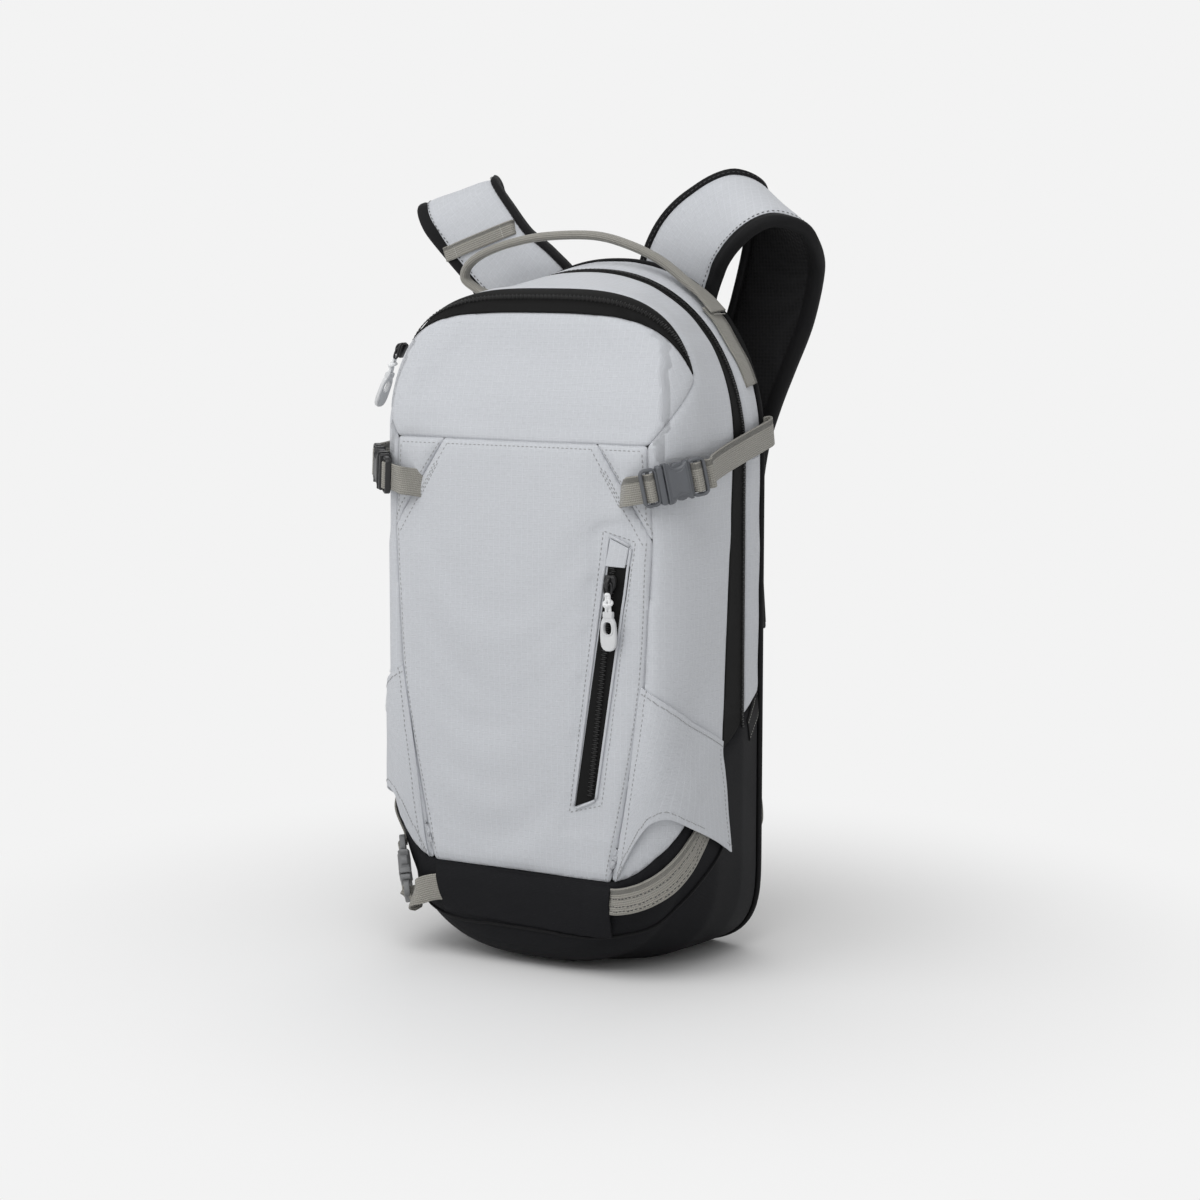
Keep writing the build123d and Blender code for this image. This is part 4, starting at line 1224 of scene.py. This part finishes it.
def wing(side):
    """Cloth flap over the lower flank, sewn down at the front seam and loose along the arched cut-out."""
    s = flip_for(side)
    top, low = [np.array(p) * s for p in WING_TOP], [np.array(p) * s for p in WING_LOW]

    def stand_off(u, v):
        free = min(u * 3.0, 1.0)
        over_loop = math.exp(-(((u - 0.74) / 0.22) ** 2)) * v * v
        return 1.5 + free * (1.2 + 2.4 * v * v) + 2.4 * over_loop + ripple(u, v, 0.8) * free * (1 - v * 0.5)

    cloth = patch("ski_wing_cloth_" + side, top, low, "shell", ("ski_wing_" + side,), stand_off,
                  (60, 40), 1.5, evened=14)
    a, b = resample(curve_through(top, 8), 44), resample(curve_through(low, 8), 60)
    bag = Bag()
    for row in (a + (0, 0, -4.0), b + (0, 0, 4.2), resample([a[-1] + (0, -4, -4), b[-1] + (0, -4, 4)], 22),
                resample([a[0], b[0]], 40) + s * (3.4, 0, 0)):
        stitch_on(bag, cloth, row, 2.2, 0.4)
    bag.piece("wing_stitches_" + side, "stitch")


def base_front():
    """Black flap across the front of the base, its piping, and the webbing of the ski loop."""
    top = [(x, FRONT_Y, BASE_FRONT_Z - 2.5) for x in (-69.5, 0, 71.5)]
    low = [(-62.0, -70, 35.0), (0, -72, 32.0), (69.0, -68, 31.0)]

    def stand_off(u, v):
        down = min(v * 4, 1.0)
        corner = max(u - 0.86, 0) / 0.14
        flare = 2.9 * corner * min(v * 14, 1.0)
        return 0.35 + flare + down * (0.9 + 0.9 * math.sin(math.pi * v) + ripple(u * 3, v, 0.45))

    patch("base_flap_cloth", top, low, "black", ("base_front_cover",), stand_off, (90, 26), 1.5)
    route = [(-119, -8, 84), (-114, -27, 66), (-95, -48.3, 40.3), (-67, -66.4, 31), (0, -70, 30),
             (67.2, -66.4, 30.4), (94.9, -48.3, 40.3), (114, -26.9, 66.4), (119, -8, 84), (119, 4, 96)]
    line, normals = settled_line(route, 4.0, 0.4)
    sweep("base_piping", line, normals, circle(1.1, 8), "binding")
    loop = [(66.5, -73.9, 56.2), (72.0, -75.2, 56.6), (78, -76.8, 57.4), (88, -75.2, 59.8), (98, -70.5, 64.0),
            (108, -62.0, 71.5), (114.6, -51.0, 82), (118.2, -40.0, 94), (119.4, -30, 104), (118.8, -21, 112)]
    across = [(0.02, 0.05, 1), (0.0, 0.1, 1), (0.0, 0.1, 1), (-0.08, 0.1, 1), (-0.2, 0.0, 1),
              (-0.34, -0.2, 1), (-0.3, -0.5, 1), (-0.16, -0.7, 1), (-0.05, -0.7, 1), (0.0, -0.7, 1)]
    web = web_band("ski_loop_web", loop, across, 18.0, "pack", ("ski_loop",), 2.2)
    line, sides = curve_through(loop[:-1], 8), curve_through(across[:-1], 8)
    bag = Bag()
    for offset in (-4.6, -1.6, 3.4):
        row = np.array([p + side * offset for p, (_, side, _) in zip(line, frames_along(line, sides))])
        stitch_on(bag, web, resample(row, 34), 2.4, 0.35)
    bag.piece("ski_loop_stitches", "black_stitch")


def lower_left():
    """Buckled strap at the lower left corner."""
    place = Place((-101.0, -64.5, 54.5), (-0.34, 0.36, 0.87), (-0.85, -0.52, 0.0))
    buckle("lower_buckle_{}", place, 0.9, "grey_plastic", "lower_buckle", "pack", ("lower_socket",),
           ("lower_plug",))
    root = [(-61, -72.6, 50.0), (-67, -75.2, 50.0), (-75, -77.6, 48.0), (-84, -78.2, 43.5)]
    line = root + [place(-20.4, 0, -2.4)] + wrap_points(place, -17.8, -10.6)
    across = [(0.1, 0.1, 1)] * 3 + [(0.3, 0.3, 1)] + [upward(place.y)] * 6
    web_band("lower_stub_web", line, across, 18.5, "pack", ("lower_stub",))
    line = wrap_points(place, 15.2, 22.2) + [place(24.4, 0, -2.6), (-117.2, -46, 92), (-120.2, -38, 104),
                                             (-121.4, -29, 117)]
    across = [upward(place.y, 1)] * 6 + [(0, 0.85, -0.5)] * 3
    lead = web_band("lower_lead_web", line, across, 16.0, None, ("lower_lead",))
    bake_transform(lead)


# ---- seams on the shell -------------------------------------------------------------------------
def seam_stitches():
    """Topstitching beside the seams of the front, the corner tabs and the label."""
    def on_front(*places, pitch=3.4):
        stitch(stitches["stitch"], [(x, FRONT_Y, z) for x, z in places], pitch)

    under = SEAM_Z - 3.8
    (xa, za), (xb, zb) = TAB_CORNER, FRONT_SEAM[1]
    for s in SIDES.values():
        on_front(*[(s * (x - 4.2), z) for x, z in FRONT_SEAM[1:]])
        for shift in (-4.0, 3.6):
            on_front((s * (xa + shift), za - 3), (s * (xb + shift - 2), zb + 1 + shift))
        on_front((s * 66, under), (s * 94, under))
        on_front((s * 94.5, SEAM_Z - 5), (s * 98.0, 310))
        for shift in (4.5, 7.5):
            on_front((s * (xa + 11 - shift), 346), (s * (xa + 26 - shift), 322), pitch=3.0)
    on_front((-57, under), (0, under), (57, under))


# ---- grab handle --------------------------------------------------------------------------------
def oval(wide, thick, power, count=24):
    """Closed oval section; a high power makes it a flat band."""
    ring = []
    for c, s in circle(1, count):
        r = (abs(c) ** power + abs(s) ** power) ** (-1 / power)
        ring.append((wide / 2 * r * c, thick / 2 * r * s))
    return ring


SPINEWARD, UP = np.array((0.0, 1.0, 0.0)), np.array((0, 0, 1.0))
HANDLE_ANCHOR = [(83, 44, 452), (90, 44, 445), (97, 44, 436), (105, 45, 424), (111, 47, 411),
                 (114.5, 49, 398)]


def grab_handle():
    """Webbing rolled to a cord in the middle, flat where it is cross-stitched to its anchors."""
    right = [(64.5, 42.5, 467.8), (77, 44.5, 458.5), (88.5, 44.5, 447.5)]
    left = [(-104, 44.0, 436), (-97, 44.0, 447), (-96, 43.5, 456), (-107, 42, 462), (-115, 40, 469)]
    middle = [(-111, 37.5, 478), (-97, 35.0, 486.5), (-73, 33, 494), (-43, 32, 499), (-4, 34, 499.5),
              (23, 38, 492.5), (46, 41, 481.5)]
    line = curve_through(left + middle + right, 10)
    count = len(line)
    flat_left, flat_right = 3.2 / 14, 2.6 / 14

    def section(i, share):
        t = i / (count - 1)
        roll = smoothstep(min(t / flat_left, (1 - t) / flat_right, 1.0))
        return oval(18.5 - 10.2 * roll, 1.7 + 4.2 * roll, 5.0 - 2.6 * roll)

    handle = sweep("handle_web", line, [(0.05, 1, 0.1)] * count, section, "web", None, ("grab_handle",))
    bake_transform(handle)
    seam = [p + (0, -1.0, -2.9) for p in line[int(count * 0.32):int(count * 0.8)]]
    tube("handle_seam", seam[::3], 0.45, "pale_stitch", "grab_handle", sides=6, steps=2)
    tacks = Bag()
    for side in SIDES:
        anchor = [np.array(p) * flip_for(side) for p in HANDLE_ANCHOR]
        line, normals = settled_line(anchor, 3.0, 1.3)
        sweep("handle_anchor_" + side, line, [SPINEWARD] * len(line),
              lambda i, share: band_section(19.0 - 2 * share, 1.6), "web", "pack",
              ("handle_anchors",) if side == "right" else ())
        out = normals[2]
        for row in (1, 3):
            along = unit(line[row + 1] - line[row])
            for k in range(-5, 6):
                spot = line[row] + out * 3.0 + SPINEWARD * k * 1.55
                tacks.capsule(spot, SPINEWARD, out, 1.3, 0.8, 0.4, along)
    tacks.piece("handle_tacks", "pale_stitch")


# ---- shoulder straps ----------------------------------------------------------------------------
# each station: a point of the middle line, the direction across the strap there, and its width
RIGHT_STRAP = [
    ((34, 76.0, 415), (1, 0, 0), 58), ((37, 75.5, 455), (1, 0, -0.2), 63),
    ((48, 75.0, 487), (1, -0.1, -0.45), 66), ((68, 73.5, 508), (0.85, -0.35, -0.6), 66),
    ((90, 74.5, 520), (0.68, -0.51, -0.58), 66), ((106, 84.0, 521), (0.58, -0.65, -0.4), 66),
    ((113, 98.0, 509), (0.75, -0.5, -0.15), 66), ((106, 110.0, 484), (1, -0.15, 0.1), 65),
    ((95, 116.0, 449), (1, 0, 0.25), 64), ((82, 117.0, 415), (1, 0, 0.35), 63),
    ((72, 114.5, 383), (1, 0, 0.25), 61), ((66, 109.0, 350), (1, 0, 0.12), 58),
    ((66, 101.5, 308), (1, 0, -0.05), 54), ((73, 94.0, 264), (1, 0, -0.15), 50),
    ((82, 87.5, 224), (1, 0, -0.12), 44),
]
LEFT_STRAP = [
    ((-46, 76.0, 412), (1, 0, 0), 58), ((-62, 75.0, 447), (1, 0, 0.4), 62),
    ((-80, 73.5, 465), (1, 0, 0.5), 64), ((-101, 72.0, 480), (1, 0, 0.4), 66),
    ((-120, 70.0, 501), (1, 0.1, 0.35), 66), ((-137, 71.0, 520), (1, 0.2, 0.4), 66),
    ((-146, 82.0, 527), (1, 0.15, 0.3), 66), ((-145, 98.0, 515), (1, 0.05, 0.1), 66),
    ((-135, 110.0, 487), (1, 0, -0.2), 65), ((-118, 116.0, 452), (1, 0, -0.35), 64),
    ((-102, 117.0, 417), (1, 0, -0.35), 63), ((-89, 114.5, 383), (1, 0, -0.25), 61),
    ((-81, 109.0, 350), (1, 0, -0.12), 58), ((-78, 101.5, 308), (1, 0, 0), 54),
    ((-79, 94.0, 264), (1, 0, 0.05), 50), ((-82, 87.5, 224), (1, 0, 0.1), 44),
]


def shoulder_strap(side, stations):
    """Foam strap: ripstop outside, mesh inside, wide binding round the edges."""
    line, across, widths = (curve_through([s[k] for s in stations], 9) for k in range(3))
    widths = widths[:, 0]

    def puff(i):
        return 1 + 0.10 * math.sin(i * 0.31) * math.sin(i * 0.083 + 1)

    def crowned(half, count, *faces):
        """Two curved faces, each a rise, a power and an offset, across the strap and back."""
        shares = np.linspace(-1, 1, count)
        return [(half * a, rise * (1 - abs(a) ** power) + offset)
                for way, (rise, power, offset) in zip((shares, shares[::-1]), faces) for a in way]

    def foam(i, share):
        return crowned(widths[i] / 2 - 2.5, 15, (4.6 * puff(i), 3.2, 0.3), (-2.6, 3.2, -0.3))

    def cover(i, share):
        return crowned(widths[i] / 2 - 2.0, 21, (-2.2, 3.2, -0.2), (-4.3 * puff(i), 4, -1.4))

    core = sweep("strap_mesh_" + side, line, across, foam, "mesh", "pack", ("shoulder_strap_" + side,))
    face = sweep("strap_face_" + side, line, across, cover, "shell")
    frames = frames_along(line, across)
    bag = Bag()
    for edge in (1, -1):
        is_outer = (edge > 0) == (side == "right")
        wide = 12.0 if is_outer else 6.0

        def beside(inset, lift=0.0):
            return np.array([p + f[1] * edge * (w / 2 - inset) + f[2] * lift
                             for p, f, w in zip(line, frames, widths)])

        binding = [(a, o * (0.86 if a * edge < 0 else 1)) for a, o in oval(wide, 9.4, 2.6)]
        name = f"strap_binding_{side}_{'outer' if is_outer else 'inner'}"
        sweep(name, beside(wide / 2 - 0.6), across, binding, "binding")
        row = beside(wide - 2.2, -4.9)
        row = resample(row, int(lengths_along(row)[-1] / 3.6))
        outs = resample([-f[2] for f in frames], len(row) - 1)
        for p, q, n in zip(row, row[1:], outs):
            bag.capsule((p + q) / 2, unit(q - p), unit(n), 2.3, 0.7, 0.4)
    bag.piece("strap_stitches_" + side, "black_stitch")
    end = [line[-1] + frames[-1][1] * a for a in (-widths[-1] / 2 + 1, 0, widths[-1] / 2 - 1)]
    sweep("strap_end_" + side, np.array(end), [frames[-1][0]] * 3, oval(10, 8.4, 2.8, 20), "binding")


def hose_keeper():
    """Short webbing keeper sewn across the left strap."""
    under = ("strap_face_left", "strap_binding_left_outer", "strap_binding_left_inner")
    face = surface_of([bpy.data.objects[n] for n in under])
    line = []
    for x, z in resample(np.array([(-146.0, 486.0), (-119.0, 496.0), (-91.0, 506.0)]), 26):
        hit = face.ray_cast(Vector((x, 0, z)), Vector((0, 1, 0)))[0]
        if hit is not None:
            line.append(np.array(hit) - (0, 1.0, 0))
    line = np.array([line[0] + (-1.5, 3.5, 0)] + line + [line[-1] + (1.5, 3.5, 0)])
    up = unit(np.array((-0.36, 0, 0.93)))
    sweep("hose_keeper_web", line, [up] * len(line), band_section(11.0, 1.3), "web", "pack", ("hose_keeper",))
    tacks = Bag()
    out = np.array((0.1, -1.0, 0.0))
    for spot, ahead in ((line[5], line[6]), (line[-6], line[-7])):
        for k in range(-3, 4):
            tacks.capsule(spot + up * k * 1.5 + (0, -0.6, 0), up, out, 1.3, 0.7, 0.35, unit(ahead - spot))
    tacks.piece("hose_keeper_tacks", "pale_stitch")


# ---- back panel ---------------------------------------------------------------------------------
def back_panel():
    """Mesh-covered foam plate with a round edge, a spine channel, and piping round it."""
    def depth(x, z, rim):
        edge = 1 - math.exp(-rim / 6.0)
        channel = math.exp(-((x / 9.0) ** 2)) * (1 if 120 < z < 400 else 0.5)
        return BACK_Y + 0.6 + (PAD_Y - BACK_Y - 1.0) * edge - 1.6 * channel * edge

    values = outline_at(BACK_Y)
    verts = []
    for i, j, x, z in filled_outline(values + (-0.5, -0.5, 0, 0, 2.5, 0, 0)):
        rim = min(i, TOP_STEPS - i, j, SIDE_STEPS - j) * 3.2
        verts.append((x, depth(x, z, rim), max(z, 1.2)))
    faces = grid_faces(TOP_STEPS + 1, SIDE_STEPS + 1)
    obj = make_piece("back_panel_mesh", verts, faces, "mesh", None, ("back_panel",))
    modify(obj, thickened(1.2), body="pack")
    ring = [(x * 1.004, BACK_Y + 1.0, max(z, 2.2)) for x, z in outline_ring(values)]
    rim_line("rear_piping", ring, 300, 4.4, 3.6)


def rim_line(name, points, steps, wide, thick):
    """Piping round a loop of points on the back."""
    line = resample(points + points[:1], steps)
    sweep(name, line, [SPINEWARD] * len(line), oval(wide, thick, 2.2, 12), "binding", capped=False)


GROOVE_PITCH, PAD_FRAMES, PAD_CAP = 26.0, 12, 4.0


def back_pad(name, width, height, x, z, replaces=(), grooved=False):
    """Crowned mesh pad with a sewn rim and moulded grooves across it."""
    steps_u, steps_v = int(width / 4), int(height / 4)
    verts, weights = [], []
    for i in range(steps_u + 1):
        for j in range(steps_v + 1):
            u, v = 2 * i / steps_u - 1, 2 * j / steps_v - 1
            r = max(abs(u), abs(v))
            su = u * math.sqrt(1 - v * v / 2 * 0.35 * abs(v) ** 2)
            sv = v * math.sqrt(1 - u * u / 2 * 0.35 * abs(u) ** 2)
            from_groove = abs((sv * height / 2 / GROOVE_PITCH + 0.5) % 1.0 - 0.5) * GROOVE_PITCH
            groove = max(0.0, 1 - from_groove / 3.2) if grooved else 0.0
            rise = 5.6 * (1 - r ** 5) ** 0.6 - 1.3 * groove * (1 - r ** 6)
            verts.append((x + su * width / 2, PAD_Y - 0.4 + rise, z + sv * height / 2))
            weights.append(1.0 if r > 0.93 else (0.7 if groove > 0.4 else 0.05))
    faces = grid_faces(steps_u + 1, steps_v + 1)
    verts = simulate(name + "_cloth", verts, faces, weights, 1.2, PAD_FRAMES, PAD_CAP,
                     tension_stiffness=20, compression_stiffness=20, shear_stiffness=6,
                     bending_stiffness=0.5, pin_stiffness=1.0)
    obj = make_piece(name, verts, faces, "mesh", None, replaces)
    modify(obj, FINER, thickened(1.4), body="pack")
    corners = rounded(-width / 2, width / 2, height / 2, 15, 8)
    rim = [(x + u * 0.985, PAD_Y + 0.2, z + v * 0.985) for u, v in corners]
    rim_line(name + "_rim", rim, int(lengths_along(rim + rim[:1])[-1] / 5), 2.6, 4.2)


ADJUSTER_TAIL = [(83.6, 87.0, 210.0), (84, 89.6, 204.0), (84.8, 91.4, 192), (86.4, 92.0, 160),
                 (88, 90.2, 124), (88.3, 91.0, 119), (88.1, 92.4, 121), (88, 92.6, 130)]
ADJUSTER_LEAD = [(83.0, 88.4, 208.5), (83.6, 84.2, 207), (84.5, 81.8, 190), (93, 77.5, 140), (101, 73.2, 104),
                 (104, 69.8, 90), (104.5, 66.0, 84)]
LOCK_LOOP = [(82, 85.5, 240.0), (82.3, 88.9, 225), (82.5, 90.6, 218.5), (82.6, 88.6, 213.5),
             (82.5, 85.6, 217), (82, 84.6, 232)]


def adjusters():
    """Ladder locks at the strap ends, their webbing and their loose tails."""
    for side in SIDES:
        s, body = flip_for(side), "adjuster_" + side
        place = Place((82.5, 88.0, 219.0), (0.06, -0.12, -1), (0, 1, 0)).on(side)
        bag = Bag()
        add_frame(bag, place, rounded(-0.5, 24.5, 13.4, 3.0), rounded(2.6, 7.4, 10.8, 0.8), -1.7, 1.7, 0.5)
        add_frame(bag, place, rounded(9.6, 24.4, 13.2, 2.6), rounded(12.0, 16.0, 10.8, 0.8), -1.9, 1.9, 0.5)
        add_slab(bag, place, rounded(20.5, 28.5, 9.6, 2.4), 0.2, 2.6)
        for k in range(3):
            add_slab(bag, place, rounded(22 + k * 2, 22.9 + k * 2, 7.5, 0.4, 3), 2.4, 3.0, 0.2)
        lock = bag.piece("adjuster_lock_" + side, "black_plastic", body, ("ladder_lock_" + side,))
        modify(lock, softened(0.25))
        lead_nodes = ("adjuster_webbing",) if side == "right" else ()
        webs = [("adjuster_tail_web_", ADJUSTER_TAIL, 0.1, 0, body, ("adjuster_tail_" + side,)),
                ("adjuster_web_", ADJUSTER_LEAD, 0.12, 0.02, "pack", lead_nodes),
                ("lock_loop_web_", LOCK_LOOP, -0.06, 0, "pack", ())]
        for name, line, slant, twist, on_body, nodes in webs:
            across = [np.array((1, 0, slant + twist * k)) * s for k in range(len(line))]
            web_band(name + side, [np.array(p) * s for p in line], across, 19.0, on_body, nodes)


def sternum_and_waist():
    """Sternum strap on its rails and the waist belt, each with its buckle."""
    clip = [(8.0, -4.2), (8.0, 0.4), (7.4, 0.8), (4.6, 0.8), (4.5, -1.0)]
    clip += [(-x, y) for x, y in reversed(clip)] + [(-6.8, -5.0), (6.8, -5.0)]
    for x, side in ((-94.0, "left"), (78.0, "right")):
        first = side == "left"
        place = Place((x, 122.0, 396.0), (-1, 0, 0), (0, 0.12, 1.0))
        bag = Bag()
        add_slab(bag, place.moved(0, -0.1, 0), rounded(-4, 4, 0.8, 0.5), -34, 34, 0.4)
        for k in (-1, 1):
            add_slab(bag, place.moved(0, -0.2, 33.0 * k), rounded(-5.5, 5.5, 1.1, 0.6), -1.7, 1.7, 0.5)
        bag.piece("sternum_rail_" + side, "black_plastic", "pack", ("sternum_rails",) if first else ())
        bag = Bag()
        add_slab(bag, place, clip[::-1], -9, 9, 0.5)
        bag.piece("sternum_clip_" + side, "black_plastic", "sternum", ("sternum_sliders",) if first else ())
    place = Place((0, 128.6, 396.0), (-1, 0, 0), (0, 1, 0))
    buckle("sternum_buckle_{}", place, 0.9, "black_plastic", "sternum", "sternum_plug", ("sternum_socket",),
           ("sternum_plug",))
    left = wrap_points(place, 15.2, 22.2) + [place(24.4, 0, -2.8), (-45, 125.2, 396), (-70, 125.9, 396),
                                             (-88, 126.4, 396)]
    web_band("sternum_web_left", left, [UP] * len(left), 17.0, "sternum", ("sternum_webbing",))
    right = [(72, 126.2, 396), (50, 125.4, 396), (32, 125.2, 396), place(-20.4, 0, -2.8)]
    right += wrap_points(place, -17.8, -10.6)
    web = web_band("sternum_web_right", right, [UP] * len(right), 17.0, None)
    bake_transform(web)
    place = Place((0, 83.1, 44.0), (-1, 0, 0), (0, 1, 0))
    buckle("waist_buckle_{}", place, 1.15, "black_plastic", "pack", "waist_plug", ("waist_socket",),
           ("waist_plug",))
    left = wrap_points(place, 15.2, 22.2) + [place(24.6, 0, -2.8), (-45, 79.6, 44), (-84, 78.6, 44),
                                             (-98, 72.2, 44), (-107, 67.5, 44)]
    web_band("waist_web_left", left, [UP] * len(left), 24.0, "pack", ("waist_webbing",))
    right = [(107, 67.5, 44), (98, 72.0, 44), (84, 77.4, 44), (45, 78.0, 44), place(-20.6, 0, -3.0)]
    right += wrap_points(place, -17.8, -10.6)
    web = web_band("waist_web_right", right, [UP] * len(right), 24.0, None)
    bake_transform(web)


def inside_pieces():
    """Pocket lining, water sleeve and frame sheet, which show only through open zips."""
    def plate(name, look, inset, y, z0, z1, node, wave, thick):
        values = outline_at(BACK_Y if y > 40 else y) - (inset, inset, 0, 0, 0, 0, 0)
        right, crown, _, _ = outline_sides(values)
        column = resample(np.vstack([right, crown[:TOP_STEPS // 2 + 1]]), 90)
        keep = [p for p in column if z0 <= p[1] <= z1 and p[0] >= 0]
        verts = []
        for x, z in keep:
            for share in np.linspace(0, 1, 31):
                wavy = wave * math.sin(7 * share + z / 31.0) * math.sin(math.pi * share)
                verts.append((x * (1 - 2 * share), y + wavy, z))
        obj = make_piece(name, verts, grid_faces(len(keep), 31, turned=True), look, None, (node,))
        modify(obj, thickened(thick, 0.0), body="pack")

    plate("pocket_lining_cloth", "lining", 7.0, GOGGLE_REAR + 1.0, 292, 455, "goggle_pocket_lining", 1.6, 0.9)
    plate("hydration_sleeve_cloth", "lining", 13.0, 47.0, 27, 348, "hydration_sleeve", 1.5, 0.9)
    plate("frame_sheet_panel", "black_plastic", 10.0, 58.5, 12, 470, "frame_sheet", 0.0, 1.4)


def side_label():
    """Blank woven tag at the right rear edge of the base."""
    top = [(120.6, 33.0, 167.0), (120.0, 45.0, 176.0), (118.0, 57.5, 185.0)]
    low = [(120.6, 38.0, 152.0), (120.0, 49.0, 160.5), (118.0, 60.5, 169.0)]
    patch("side_label_cloth", top, low, "binding", ("side_label",), lambda u, v: 1.0, (16, 12), 1.0)
    for a, b in ((top, low), (low, top)):
        edge = [np.array(p) * 0.86 + np.array(q) * 0.14 for p, q in zip(a, b)]
        stitch(stitches["pale_stitch"], edge, 2.4, 1.5, 0.5, 0.3, 1.0)


# ---- assembly -----------------------------------------------------------------------------------
add_camera()
add_studio()
skin = build_skin()
cut_seams(skin)
panel_of = split_panels(skin)
round_front_edge(skin)
lean_back(skin)
skin.normal_update()
skin_tree = BVHTree.FromBMesh(skin)
relax_cloth(skin, panel_of)
skin.normal_update()
outer = surface_of(make_panels(skin, panel_of))
stitches = {look: Bag() for look in ("stitch", "pale_stitch")}
front_zip_parts()
arched_zips()
flank_zip()
other_pulls()
for side in SIDES:
    compression_side(side)
    wing(side)
base_front()
lower_left()
grab_handle()
shoulder_strap("right", RIGHT_STRAP)
shoulder_strap("left", LEFT_STRAP)
hose_keeper()
back_panel()
back_pad("back_pad_right", 74, 210, 52, 265, ("back_pads",), grooved=True)
back_pad("back_pad_left", 74, 210, -52, 265, grooved=True)
back_pad("lumbar_pad", 178, 78, 0, 100)
adjusters()
sternum_and_waist()
inside_pieces()
side_label()
seam_stitches()
stitches["stitch"].piece("shell_stitches", "stitch")
stitches["pale_stitch"].piece("label_stitches", "pale_stitch")
